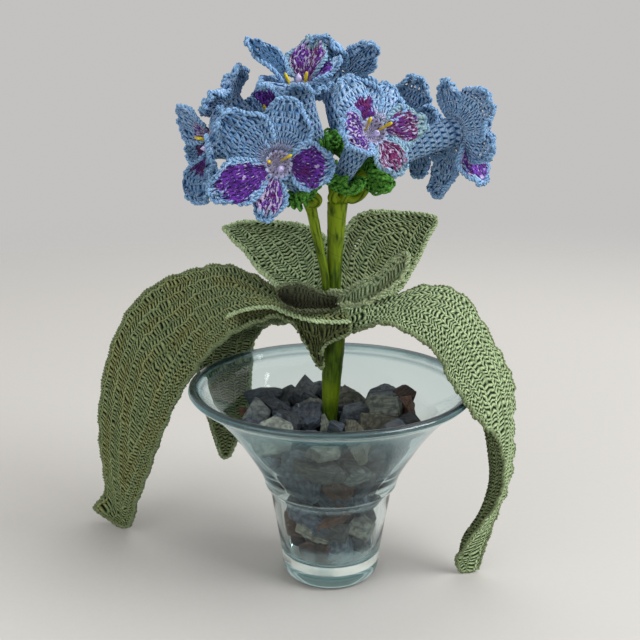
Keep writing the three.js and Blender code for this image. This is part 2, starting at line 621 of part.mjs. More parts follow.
function jitteredSlab(draw, centre, size) {
  const slab = new THREE.BoxGeometry(1, 1, 1);
  slab.deleteAttribute('normal');
  slab.deleteAttribute('uv');
  const corners = mergeVertices(slab);
  const place = corners.attributes.position;
  const scale = [size * (0.85 + 0.4 * draw()), size * (0.6 + 0.35 * draw()),
    size * (0.38 + 0.25 * draw())];
  const turn = new THREE.Euler(Math.PI * draw(), Math.PI * draw(), Math.PI * draw());
  for (let i = 0; i < place.count; i += 1) {
    const corner = new THREE.Vector3().fromBufferAttribute(place, i);
    corner.x = (corner.x + 0.42 * (draw() - 0.5)) * scale[0];
    corner.y = (corner.y + 0.42 * (draw() - 0.5)) * scale[1];
    corner.z = (corner.z + 0.42 * (draw() - 0.5)) * scale[2];
    corner.applyEuler(turn).add(centre);
    place.setXYZ(i, corner.x, corner.y, corner.z);
  }
  return corners;
}

function makeChippings() {
  const draw = makeDraws(CHIP_SEED);
  const chips = [];
  const golden = Math.PI * (3 - Math.sqrt(5));
  for (let i = 0; i < TOP_CHIPS; i += 1) {
    const share = (i + 0.6) / TOP_CHIPS;
    const distance = cavityRadius(BED_TOP) * 0.88 * Math.sqrt(share);
    const angle = i * golden;
    const height = BED_TOP + 2.5 * share + 3 * draw();
    const centre = new THREE.Vector3(distance * Math.cos(angle), distance * Math.sin(angle), height);
    chips.push(jitteredSlab(draw, centre, CHIP_SIZE));
  }
  WALL_CHIP_HEIGHTS.forEach((height, ring) => {
    const count = WALL_CHIPS_PER_RING + ring;
    for (let i = 0; i < count; i += 1) {
      const angle = (2 * Math.PI * (i + 0.5 * (ring % 2) + 0.3 * draw())) / count;
      const distance = cavityRadius(height) - 4.5;
      const centre = new THREE.Vector3(distance * Math.cos(angle), distance * Math.sin(angle),
        height + 4 * (draw() - 0.5));
      chips.push(jitteredSlab(draw, centre, CHIP_SIZE));
    }
  });
  const bottom = CAVITY_FLOOR + FIT_GAP;
  const coreHeights = [bottom, 46, BED_TOP - 2];
  const core = coreHeights.map((height) => [height, cavityRadius(height) - 4.2]);
  const coreProfile = [[bottom, 0], ...core, [BED_TOP - 2, 0]];
  const envelopeHeights = [11, 14, 46, 50, 66, 76, BED_PEAK];
  const envelope = envelopeHeights.map((height) => [height, cavityRadius(height) - 2 * FIT_GAP]);
  const envelopeProfile = [[bottom, 0], [bottom, 17], ...envelope, [BED_PEAK, 0]];
  let bed = toSolid(lathed(coreProfile, 10));
  for (const chip of chips) {
    bed = bed.add(toSolid(chip));
  }
  bed = bed.intersect(toSolid(lathed(envelopeProfile, VASE_SEGMENTS / 2)));
  return bed;
}

// Putting the plant together. Each piece is cut clear of those that it meets.

function build() {
  const stems = stemSolid(0);
  const stemRoom = stemSolid(FIT_GAP);
  addMesh('glass_vase', makeVase(), 'glass');
  addMesh('slate_chippings', toGeometry(makeChippings().subtract(stemRoom)), 'slate');
  addMesh('wrapped_stems', toGeometry(stems), 'stem');
  let leafRoom = stemRoom;
  for (const leaf of LEAVES) {
    const surface = leafSurface(leaf);
    const [along, across] = leaf.steps;
    const solid = toSolid(blade(surface, LEAF_THICKNESS, along, across));
    const room = toSolid(blade(surface, LEAF_THICKNESS + 2 * FIT_GAP, along, across, FIT_GAP));
    addMesh(leaf.name, toGeometry(solid.subtract(leafRoom)), leaf.colour);
    leafRoom = leafRoom.add(room);
  }
  let bloomRoom = stemRoom;
  BLOOMS.forEach((bloom, index) => {
    const solid = makeBloom(bloom, index).subtract(bloomRoom);
    addMesh(`bloom_${bloom.name}`, toGeometry(solid), 'petal');
    bloomRoom = bloomRoom.add(makeBloom(bloom, index, PETAL_GAP));
  });
  BLOOMS.forEach((bloom, index) => {
    const phase = index * CALYX_PHASE;
    const calyx = toSolid(calyxGeometry(bloom, phase));
    addMesh(`calyx_${bloom.name}`, toGeometry(calyx.subtract(bloomRoom)), 'calyx');
    bloomRoom = bloomRoom.add(toSolid(calyxGeometry(bloom, phase, FIT_GAP)));
  });
  for (const bloom of BLOOMS) {
    addMesh(`stamens_${bloom.name}`, makeStamens(bloom), 'stamen');
    addMesh(`pistil_${bloom.name}`, makePistil(bloom), 'pistil');
  }
}

build();

export default part;
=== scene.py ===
"""Looks of a crocheted cape primrose that stands in a flared glass vase of slate chippings.

Every leaf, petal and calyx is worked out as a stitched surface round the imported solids, and
the same stitch formula shapes the mesh and drives its cotton. Shapes are in millimetres in
the code and in metres in the meshes; +Z is up and -Y is the front.
"""

import logging  # noqa: E402
import math  # noqa: E402
from dataclasses import dataclass, field  # noqa: E402
from enum import Enum  # noqa: E402

import bpy  # noqa: E402
import numpy as np  # noqa: E402
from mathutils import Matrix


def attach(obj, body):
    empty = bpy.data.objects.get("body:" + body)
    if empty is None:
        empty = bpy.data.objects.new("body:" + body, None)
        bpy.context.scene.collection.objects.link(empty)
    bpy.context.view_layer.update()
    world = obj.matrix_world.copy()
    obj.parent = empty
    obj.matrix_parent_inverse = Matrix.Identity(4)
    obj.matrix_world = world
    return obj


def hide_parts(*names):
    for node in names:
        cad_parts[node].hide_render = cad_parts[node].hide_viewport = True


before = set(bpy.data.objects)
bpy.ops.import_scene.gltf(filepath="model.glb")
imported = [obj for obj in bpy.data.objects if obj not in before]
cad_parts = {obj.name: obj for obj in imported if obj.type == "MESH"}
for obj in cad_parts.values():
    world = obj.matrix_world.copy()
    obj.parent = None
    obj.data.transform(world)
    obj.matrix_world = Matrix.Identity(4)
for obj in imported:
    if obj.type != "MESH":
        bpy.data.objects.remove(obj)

log = logging.getLogger("primrose")

# A plain number, an array of them or a wrapped socket of a material
Number = "float | np.ndarray | Value"
# What a node's input is given: a number, a colour or a wrapped socket
Given = "float | tuple | Value"
Array = np.ndarray
Material = bpy.types.Material
Point = tuple[float, float, float]
Pairs = tuple[tuple[float, float], ...]

MM = 0.001
BODY = "root"
GOLDEN_ANGLE = math.pi * (3 - math.sqrt(5))
UV_NAME = "stitches"

# Sizes shared with the solids, in millimetres
MOUTH_RADIUS = 6.8
MOUTH_WALL = 1.5
THROAT_DEPTH = 8.0
FOOT_RADIUS = 3.2
PEDICEL_RADIUS = 1.9
FIT_GAP = 0.45
LOBE_CURL = 36.0
LOBE_RUFFLE = 1.9
LOBE_WAVES = 2.4
LOBE_FRILL = 0.9
FRILL_WAVES = 6.5
CAVITY_FLOOR = 10.5
BLOOM_SEED = 7
DRAW_FACTOR = 16807
DRAW_MODULUS = 2147483647

# The photograph's camera, in metres and degrees
CAMERA_PLACE = (-0.0052, -0.414, 0.237)
CAMERA_PITCH = 14.9
FOCAL_PIXELS = 930.0
FRAME_PIXELS = 640.0
SENSOR_WIDTH = 36.0


class Slot(Enum):
    """The material slots."""

    GLASS = "clear_glass"
    SLATE = "slate"
    STEM = "stem_tape"
    LEAF = "leaf_cotton"
    YOUNG_LEAF = "young_leaf_cotton"
    PETAL = "petal_cotton"
    CALYX = "calyx_cotton"
    STAMEN = "stamen_wire"
    PISTIL = "pistil_bead"


def unit(vectors: Array) -> Array:
    """Each vector divided by its own length."""
    lengths = np.linalg.norm(vectors, axis=-1, keepdims=True)
    return vectors / np.maximum(lengths, 1e-9)


def circle(sides: int) -> Array:
    """Even angles once round, from 0."""
    return np.linspace(0, 2 * math.pi, sides, endpoint=False)


def spokes(first: Array, second: Array, angles: Array) -> Array:
    """Directions at angles that go from a first axis towards a second one."""
    return np.cos(angles)[..., None] * first + np.sin(angles)[..., None] * second


def turned(radii: Array, heights: Array, sides: int) -> Array:
    """Rings of points round the upright axis, one ring for each radius and its height.

    Args:
        radii: The rings' radii.
        heights: The rings' heights.
        sides: How many points a ring has.

    Returns:
        The points, by ring and by side.
    """
    right, away, up = np.eye(3)
    rings = radii[:, None, None] * spokes(right, away, circle(sides))
    return rings + heights[:, None, None] * up


def uv_grid(by_row: Array, by_column: Array) -> Array:
    """UV places of a grid, where V changes from row to row and U from column to column."""
    return np.stack(np.meshgrid(by_row, by_column, indexing="ij")[::-1], -1)


def smooth_curve(knots: Array, places: Array) -> Array:
    """Points of the centripetal Catmull-Rom curve through knots.

    Between two knots it is the cubic whose end slopes weigh the chords to the neighbours by
    the square roots of their lengths.

    Args:
        knots: Knots along the first axis, with any axes between it and the coordinates.
        places: Shares from 0, the first knot, to 1, the last.

    Returns:
        One point for each place, in place of the first axis.
    """
    count = len(knots)
    place = np.clip(places, 0, 1) * (count - 1)
    before = np.minimum(place.astype(int), count - 2)
    share = (place - before).reshape((-1,) + (1,) * (knots.ndim - 1))
    first, last = 2 * knots[0] - knots[1], 2 * knots[-1] - knots[-2]
    padded = np.concatenate([first[None], knots, last[None]])
    a, b, c, d = (padded[before + step] for step in range(4))

    def spacing(start: Array, end: Array) -> Array:
        """The square root of the distance between two knots."""
        return np.maximum(np.linalg.norm(end - start, axis=-1, keepdims=True), 1e-6) ** 0.5

    ab, bc, cd = spacing(a, b), spacing(b, c), spacing(c, d)
    leaving = ((b - a) / ab - (c - a) / (ab + bc) + (c - b) / bc) * bc
    arriving = ((c - b) / bc - (d - b) / (bc + cd) + (d - c) / cd) * bc
    square = (3 * (c - b) - 2 * leaving - arriving) * share**2
    cube = (2 * (b - c) + leaving + arriving) * share**3
    return b + leaving * share + square + cube


def lengths_along(path: Array) -> Array:
    """The length of a path from its start to each of its points."""
    steps = np.linalg.norm(np.diff(path, axis=0), axis=-1)
    return np.concatenate([[0.0], np.cumsum(steps)])


def resampled(path: Array, spacing: float, *others: Array) -> list[Array]:
    """A path and the arrays that go with it, at even steps of about the given spacing.

    Args:
        path: The points along the path.
        spacing: The wanted step.
        others: Arrays with a row for each point.

    Returns:
        The path and the arrays at the new places.
    """
    run = lengths_along(path)
    count = max(int(round(run[-1] / spacing)), 3) + 1
    places = np.linspace(0, run[-1], count)
    return [
        np.stack([np.interp(places, run, array[:, axis]) for axis in range(array.shape[1])], 1)
        for array in (path, *others)
    ]


def eased(path: Array, rounds: int) -> Array:
    """A path whose corners are rounded by averaging each point with its neighbours."""
    for _ in range(rounds):
        inner = 0.25 * path[:-2] + 0.5 * path[1:-1] + 0.25 * path[2:]
        path = np.concatenate([path[:1], inner, path[-1:]])
    return path


def grid_normals(grid: Array) -> Array:
    """Unit normals of a grid of points: the step along crossed with the step across."""
    return unit(np.cross(np.gradient(grid, axis=0), np.gradient(grid, axis=1)))


def ramp(values: Array, low: float, high: float) -> Array:
    """0 below low and 1 above high, with a smooth rise between them."""
    share = np.clip((values - low) / (high - low), 0, 1)
    return share * share * (3 - 2 * share)


# The stitch formula uses plain operators alone, so that it works on arrays and on sockets


def held(value: "Number") -> "Number":
    """The value held between 0 and 1, from distances to both bounds."""
    return (abs(value) - abs(value - 1.0) + 1.0) * 0.5


def larger(first: "Number", second: "Number") -> "Number":
    """The larger of two values: half of their sum and of their difference."""
    return (first + second + abs(first - second)) * 0.5


def cord_section(distance: "Number", width: float) -> "Number":
    """The height of a round cord over its own centre line, 1 at the middle and 0 at width."""
    share = distance * (1.0 / width)
    return held(1.0 - share * share) ** 0.6


@dataclass(frozen=True)
class Stitch:
    """One crochet stitch, of one unit along its row and one unit from row to row.

    Attributes:
        lean: How far a post leans, to one side and to the other by turns.
        split: How far the post's two strands part towards its top.
        strand: Half of a strand's width.
        post: The height of the posts.
        loop_place: Where the ridge of loops lies in its row.
        loop_width: Half of the ridge's width.
        loop_low: How much lower the ridge is on each second row.
        twist: How deep the grooves between the ridge's strands are.
        brick: How far the posts of each second row are shifted along.
    """

    lean: float
    split: float
    strand: float
    post: float
    loop_place: float
    loop_width: float
    loop_low: float
    twist: float
    brick: float = 0.5

    def leaning(self, along: "Number", rows: "Number") -> "Number":
        """The place between the posts, which lean to one side and the other by turns.

        Args:
            along: The place along the row, in stitches.
            rows: The place across the rows, in rows.

        Returns:
            The place within a stitch, from 0 to 1, with the post at 0.5.
        """
        within = rows % 1.0
        turn = (rows - within) % 2.0
        lean = (turn - 0.5) * self.lean * (within - 0.4)
        return (along + self.brick * turn + lean) % 1.0

    def height(self, along: "Number", rows: "Number") -> "Number":
        """The stitch's height from 0 to 1: strands of a post below a ridge of twisted loops.

        Args:
            along: The place along the row, in stitches.
            rows: The place across the rows, in rows.

        Returns:
            The height.
        """
        within = rows % 1.0
        apart = abs(self.leaning(along, rows) - 0.5)
        strand = cord_section(abs(apart - self.split * (0.3 + within)), self.strand)
        body = strand * (self.post - 0.5 * abs(within - 0.4))
        shifted = rows + (0.5 - self.loop_place)
        offset = shifted % 1.0 - 0.5
        low = 1.0 - self.loop_low * ((shifted - offset - 0.5) % 2.0)
        strand = cord_section(abs((along + 0.5 + 1.6 * offset) % 1.0 - 0.5), 0.5)
        twist = (1.0 - self.twist) + self.twist * strand
        loop = cord_section(abs(offset), self.loop_width) * twist * low
        return larger(body, loop)

    def hole(self, along: "Number", rows: "Number") -> "Number":
        """1 in the middle of the hole between two posts and 0 on the cords.

        Args:
            along: The place along the row, in stitches.
            rows: The place across the rows, in rows.

        Returns:
            The share of the hole.
        """
        between = abs((self.leaning(along, rows) + 0.5) % 1.0 - 0.5)
        within = rows % 1.0
        return cord_section(between, 0.3) * cord_section(abs(within - 0.34), 0.3)


LEAF_STITCH = Stitch(1.0, 0.0, 0.4, 0.96, 0.86, 0.2, 0.25, 0.6)
PETAL_STITCH = Stitch(0.5, 0.18, 0.3, 0.95, 0.88, 0.2, 0.3, 0.55)


def uneven(along: Array, rows: Array, seed: int) -> tuple[Array, Array]:
    """Stitch places moved by a few slow sines of both, because handwork is uneven.

    Args:
        along: The place along the row, in stitches.
        rows: The place across the rows, in rows.
        seed: The seed of the sines.

    Returns:
        Both places, moved.
    """
    phases = 2 * math.pi * np.random.default_rng(seed).random((2, 4))
    waves = ((0.9, 1.7), (2.3, 0.8), (0.31, 2.6), (1.4, 0.45))
    moves = [
        sum(np.sin(a * along + r * rows + shift) for (a, r), shift in zip(waves, row))
        for row in phases
    ]
    return along + 0.13 * moves[0], rows + 0.08 * moves[1]


# Skins

# Pattern units once round a thin cord, and millimetres of it for one unit along
CORD_UV = (1.0, 2.0)


@dataclass
class Shell:
    """A closed skin.

    Attributes:
        points: Its points, in millimetres.
        faces: Arrays of faces as point numbers, one array for each count of corners.
        corners: The UV of each corner, in the order of faces.
        marks: Named values of its points, which its cotton reads.
    """

    points: Array
    faces: list[Array]
    corners: list[Array]
    marks: dict[str, Array | float] = field(default_factory=dict)


def grid_faces(rows: int, columns: int, wraps: bool) -> tuple[Array, Array]:
    """Faces of a grid that go round first and then along, and the places of their UVs.

    Args:
        rows: How many rows of points there are.
        columns: How many points a row has.
        wraps: Whether the last column joins the first.

    Returns:
        The points of each face, and the UV places of its corners.
    """
    ends = np.meshgrid(
        np.arange(rows - 1), np.arange(columns if wraps else columns - 1), indexing="ij"
    )
    i, j = (end.ravel() for end in ends)
    k = (j + 1) % columns
    below, above = i * columns, (i + 1) * columns
    faces = np.stack([below + j, below + k, above + k, above + j], 1)
    wide = columns + 1 if wraps else columns
    low, high = i * wide + j, (i + 1) * wide + j
    return faces, np.stack([low, low + 1, high + 1, high], 1)


def loft_shell(rings: Array, uv: Array, marks: dict | None = None) -> Shell:
    """A skin over rings of equally many points, closed at both ends by fans of triangles.

    Args:
        rings: Points by ring and place round it, turning to the left as the rings advance.
        uv: One more column than the rings have, so that the pattern meets itself.
        marks: Values by ring and place round it, or one number.

    Returns:
        The closed skin.
    """
    count, sides = rings.shape[:2]
    faces, places = grid_faces(count, sides, True)
    points = np.concatenate([rings.reshape(-1, 3), rings[[0, -1]].mean(axis=1)])
    j = np.arange(sides)
    k = (j + 1) % sides
    last = (count - 1) * sides
    start = np.stack([np.full(sides, count * sides), k, j], 1)
    end = np.stack([np.full(sides, count * sides + 1), last + j, last + k], 1)
    near = np.stack([uv[0, :-1], uv[0, 1:], uv[0, :-1]], 1)
    far = np.stack([uv[-1, :-1], uv[-1, :-1], uv[-1, 1:]], 1)
    spread = {
        name: np.concatenate([value.reshape(-1), value[[0, -1]].mean(axis=1)])
        if isinstance(value, np.ndarray)
        else value
        for name, value in (marks or {}).items()
    }
    return Shell(
        points,
        [faces, np.concatenate([start, end])],
        [uv.reshape(-1, 2)[places], np.concatenate([near, far])],
        spread,
    )


def rings_along(
    path: Array, tangents: Array, hint: Array, reach: Array
) -> Array:
    """Rings of points round a path.

    Args:
        path: The centre of each ring.
        tangents: The unit direction that each ring is square to.
        hint: A direction, or one for each ring, that the ring's first axis is square to.
        reach: The radius by ring and place round it.

    Returns:
        Points by ring and place round it.
    """
    side = unit(np.cross(hint, tangents))
    axes = side[:, None], np.cross(tangents, side)[:, None]
    return path[:, None] + reach[:, :, None] * spokes(*axes, circle(reach.shape[1]))


def tube_shell(
    path: Array,
    radii: Array | float,
    hint: Array,
    sides: int,
    uv_size: tuple[float, float] = (1.0, 1.0),
    marks: dict | None = None,
) -> Shell:
    """A round cord along a path.

    Args:
        path: The centre line.
        radii: One radius, one for each point, or one for each point and place round it.
        hint: As for the rings along a path.
        sides: Points round the section.
        uv_size: Pattern units once round, and millimetres of path for one unit along.
        marks: Values for the whole cord.

    Returns:
        The closed skin.
    """
    shape = len(path), sides
    column = radii if np.ndim(radii) == 2 else np.reshape(radii, (-1, 1))
    tangents = unit(np.gradient(path, axis=0))
    rings = rings_along(path, tangents, hint, np.broadcast_to(column, shape))
    uv = uv_grid(lengths_along(path) / uv_size[1], np.linspace(0, uv_size[0], sides + 1))
    spread = {
        name: np.broadcast_to(np.reshape(value, (-1, 1)), shape) + 0.0
        for name, value in (marks or {}).items()
    }
    return loft_shell(rings, uv, spread)


def blade_shell(surface: Array, lift: Array, uv: Array, marks: tuple[dict, dict]) -> Shell:
    """A thin closed blade: a surface's grid lifted along its normals to both sides.

    Args:
        surface: The grid of points between the two faces.
        lift: How far both faces stand off the surface.
        uv: The pattern's place at each point of the grid.
        marks: Values of the front and of the back, by grid point.

    Returns:
        The closed skin, with a rim of faces round all four edges.
    """
    rows, columns = surface.shape[:2]
    moves = grid_normals(surface) * lift[..., None]
    faces, places = grid_faces(rows, columns, False)
    count = rows * columns
    index = np.arange(count).reshape(rows, columns)
    rim = np.concatenate([index[:-1, 0], index[-1, :-1], index[:0:-1, -1], index[0, :0:-1]])
    ahead = np.roll(rim, -1)
    band = np.stack([ahead, rim, rim + count, ahead + count], 1)
    flat = uv.reshape(-1, 2)
    sides = [faces[:, ::-1], faces + count, band]
    corners = [flat[places[:, ::-1]], flat[places], flat[band % count]]
    both = {
        name: np.concatenate([
            np.broadcast_to(part.get(name, 0.0), (rows, columns)).reshape(-1) for part in marks
        ])
        for name in {*marks[0], *marks[1]}
    }
    points = np.concatenate([surface + moves, surface - moves]).reshape(-1, 3)
    return Shell(points, [np.concatenate(sides)], [np.concatenate(corners)], both)


def rope_shells(
    path: Array, normals: Array, cord: float, pitch: float, sides: int, marks: dict
) -> list[Shell]:
    """Two cords that twist round each other along a path, as the chain of an edge does.

    Each centre line circles the path once a pitch, at nine tenths of the cord's radius, and the
    mark "chain" rises from the groove between the cords to their outsides, so the groove takes
    painted shade and the outsides painted highlights.

    Args:
        path: The line that the rope follows.
        normals: The surface's normals along it.
        cord: The radius of one cord.
        pitch: The length of one turn.
        sides: Points round one cord.
        marks: Values for the whole rope.

    Returns:
        The two cords' skins.
    """
    tangents = unit(np.gradient(path, axis=0))
    side = unit(np.cross(normals, tangents))
    turn = 2 * math.pi * lengths_along(path) / pitch
    made = []
    for phase in (0.0, math.pi):
        line = path + 0.9 * cord * spokes(side, normals, turn + phase)
        shell = tube_shell(line, cord, normals, sides, CORD_UV, marks)
        out = np.linalg.norm(shell.points[:-2] - np.repeat(path, sides, axis=0), axis=-1)
        # Painted shade in the groove between the cords, painted highlight on their outsides
        chain = 0.2 + 0.8 * ramp(out / cord, 0.5, 1.8)
        shell.marks["chain"] = np.concatenate([chain, [0.2, 0.2]])
        made.append(shell)
    return made


def linked(name: str, data: bpy.types.ID) -> bpy.types.Object:
    """A new object in the scene.

    Args:
        name: Its name.
        data: Its mesh, camera or light.

    Returns:
        The object.
    """
    made = bpy.data.objects.new(name, data)
    bpy.context.scene.collection.objects.link(made)
    return made


@dataclass(frozen=True)
class Piece:
    """One visible piece: its name, the node it stands for, its slot and its finish."""

    name: str
    node: str
    slot: Slot
    material: Material

    def make(self, *shells: Shell, smooth: bool = True) -> None:
        """Writes shells into one mesh, with UVs and marks, and puts it on the part.

        Args:
            shells: The skins that it is made of.
            smooth: Whether the faces are shaded as one smooth surface.
        """
        starts = np.cumsum([0] + [len(shell.points) for shell in shells])
        points = np.concatenate([shell.points for shell in shells]) * MM
        flat_faces, flat_corners, totals = [], [], []
        for shell, start in zip(shells, starts):
            for faces, corners in zip(shell.faces, shell.corners):
                flat_faces.append((faces + start).reshape(-1))
                flat_corners.append(corners.reshape(-1))
                totals.append(np.full(len(faces), faces.shape[1]))
        loops, total = np.concatenate(flat_faces), np.concatenate(totals)
        mesh = bpy.data.meshes.new(self.name)
        mesh.vertices.add(len(points))
        mesh.vertices.foreach_set("co", points.astype(np.float32).reshape(-1))
        mesh.loops.add(len(loops))
        mesh.loops.foreach_set("vertex_index", loops.astype(np.int32))
        mesh.polygons.add(len(total))
        begins = np.concatenate([[0], np.cumsum(total)[:-1]]).astype(np.int32)
        mesh.polygons.foreach_set("loop_start", begins)
        mesh.polygons.foreach_set("use_smooth", np.full(len(total), smooth))
        layer = mesh.uv_layers.new(name=UV_NAME)
        layer.data.foreach_set("uv", np.concatenate(flat_corners).astype(np.float32))
        for mark in sorted({name for shell in shells for name in shell.marks}):
            values = np.concatenate([
                np.broadcast_to(shell.marks.get(mark, 0.0), len(shell.points))
                for shell in shells
            ])
            attribute = mesh.attributes.new(mark, "FLOAT", "POINT")
            attribute.data.foreach_set("value", values.astype(np.float32))
        mesh.update(calc_edges=True)
        mesh.materials.append(self.material)
        piece = linked(self.name, mesh)
        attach(piece, BODY)
        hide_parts(self.node)
        log.info("%s: %d triangles", self.name, int((total - 2).sum()))


# Finishes


def linear(code: str) -> tuple[float, float, float, float]:
    """A colour's linear values from its hexadecimal code.

    Args:
        code: The code, with its leading #.

    Returns:
        Red, green, blue and full alpha.
    """
    shares = [int(code[k : k + 2], 16) / 255 for k in (1, 3, 5)]
    bent = [s / 12.92 if s <= 0.04045 else ((s + 0.055) / 1.055) ** 2.4 for s in shares]
    return (*bent, 1.0)


class Value:
    """A socket of a material, with arithmetic that adds Math nodes."""

    def __init__(self, tree: "Tree", socket: bpy.types.NodeSocket) -> None:
        """Wraps a socket of a tree."""
        self.tree = tree
        self.socket = socket

    def maths(self, operation: str, first: "Given", second: "Given" = 0.0) -> "Value":
        """The result of a Math node."""
        return self.tree.node("ShaderNodeMath", {"operation": operation}, {0: first, 1: second})

    def __add__(self, other: "Given") -> "Value":
        """The sum."""
        return self.maths("ADD", self, other)

    __radd__ = __add__

    def __sub__(self, other: "Given") -> "Value":
        """The difference."""
        return self.maths("SUBTRACT", self, other)

    def __rsub__(self, other: "Given") -> "Value":
        """The difference, the other way round."""
        return self.maths("SUBTRACT", other, self)

    def __mul__(self, other: "Given") -> "Value":
        """The product."""
        return self.maths("MULTIPLY", self, other)

    __rmul__ = __mul__

    def __mod__(self, other: "Given") -> "Value":
        """What is left after whole steps, never negative."""
        return self.maths("FLOORED_MODULO", self, other)

    def __pow__(self, other: "Given") -> "Value":
        """The power."""
        return self.maths("POWER", self, other)

    def __abs__(self) -> "Value":
        """The distance from 0."""
        return self.maths("ABSOLUTE", self)

    def ramp(self, low: float, high: float) -> "Value":
        """0 below low and 1 above high, with a smooth rise between them."""
        return self.tree.node(
            "ShaderNodeMapRange",
            {"interpolation_type": "SMOOTHSTEP"},
            {0: self, 1: low, 2: high, 3: 0.0, 4: 1.0},
        )


class Tree:
    """The nodes of one material."""

    def __init__(self, name: str) -> None:
        """Starts a material that holds a shader and its output.

        Args:
            name: The material's name.
        """
        self.material = bpy.data.materials.new(name)
        self.material.use_nodes = True
        self.nodes = self.material.node_tree.nodes
        self.links = self.material.node_tree.links
        self.nodes.clear()
        self.shader = self.nodes.new("ShaderNodeBsdfPrincipled")
        output = self.nodes.new("ShaderNodeOutputMaterial")
        self.links.new(self.shader.outputs[0], output.inputs[0])

    def node(self, kind: str, settings: dict, sockets: dict, output: int | str = 0) -> Value:
        """Any node: its settings are set first, and then its sockets.

        Args:
            kind: The node's type.
            settings: Its properties. "stops" are a ramp's places and colours.
            sockets: A value or a link for each named or numbered socket.
            output: The output that is wanted.

        Returns:
            The wrapped output.
        """
        made = self.nodes.new(kind)
        for name, setting in settings.items():
            if name == "stops":
                stops = made.color_ramp.elements
                while len(stops) < len(setting):
                    stops.new(0.5)
                for stop, (place, colour) in zip(stops, setting):
                    stop.position, stop.color = place, colour
            else:
                setattr(made, name, setting)
        for name, given in sockets.items():
            self.feed(made.inputs[name], given)
        return Value(self, made.outputs[output])

    def feed(self, socket: bpy.types.NodeSocket, given: "Given") -> None:
        """Links a wrapped socket to an input, or sets the input's own value."""
        if isinstance(given, Value):
            self.links.new(given.socket, socket)
        else:
            socket.default_value = given

    def mix(self, factor: Given, first: Given, second: Given, blend: str = "MIX") -> Value:
        """A Mix node of two colours."""
        settings = {"data_type": "RGBA", "blend_type": blend, "clamp_factor": True}
        return self.node("ShaderNodeMix", settings, {0: factor, 6: first, 7: second}, 2)

    def multiplied(self, colour: Value, by: tuple, factor: Given = 1.0) -> Value:
        """A colour multiplied by another one, as far as the factor says."""
        return self.mix(factor, colour, by, "MULTIPLY")

    def noise(self, place: Value, scale: float, detail: float) -> Value:
        """Noise from 0 to 1 at a place."""
        sockets = {"Vector": place, "Scale": scale, "Detail": detail}
        return self.node("ShaderNodeTexNoise", {}, sockets)

    def place(self) -> Value:
        """The Object coordinates, in metres."""
        return self.node("ShaderNodeTexCoord", {}, {}, "Object")

    def mark(self, name: str) -> Value:
        """A named value of the mesh."""
        return self.node("ShaderNodeAttribute", {"attribute_name": name}, {}, "Fac")

    def stitches(self) -> tuple[Value, Value]:
        """The place along and across the rows, in stitches, from the mesh's UV map."""
        uv = self.node("ShaderNodeUVMap", {"uv_map": UV_NAME}, {})
        return self.part(uv, 0), self.part(uv, 1)

    def part(self, vector: Value, axis: int) -> Value:
        """One coordinate of a vector."""
        return self.node("ShaderNodeSeparateXYZ", {}, {0: vector}, axis)

    def streaks(self, x: Value, y: Value, detail: float, scale: float = 1.0) -> Value:
        """Noise from 0 to 1 at a place of two coordinates, which the caller stretches."""
        flat = self.node("ShaderNodeCombineXYZ", {}, {0: x, 1: y})
        return self.noise(flat, scale, detail)

    def bump(self, height: Value, distance: float, strength: float) -> Value:
        """A bump of the surface by a height."""
        sockets = {"Height": height, "Distance": distance, "Strength": strength}
        return self.node("ShaderNodeBump", {}, sockets)

    def finish(self, **sockets: Given) -> Material:
        """Feeds the shader's sockets, named with underscores for spaces."""
        for name, given in sockets.items():
            self.feed(self.shader.inputs[name.replace("_", " ")], given)
        return self.material


@dataclass(frozen=True)
class Yarn:
    """The values that every crocheted colour is made from.

    Attributes:
        tree: The material's nodes.
        height: The stitch height, or the height of the chain where that is larger.
        along: The place along the rows.
        rows: The place across the rows.
    """

    tree: Tree
    height: Value
    along: Value
    rows: Value

    def streaks(self, along: float, rows: float, detail: float, scale: float = 1.0) -> Value:
        """Noise that is stretched along and across the rows."""
        return self.tree.streaks(self.along * along, self.rows * rows, detail, scale)


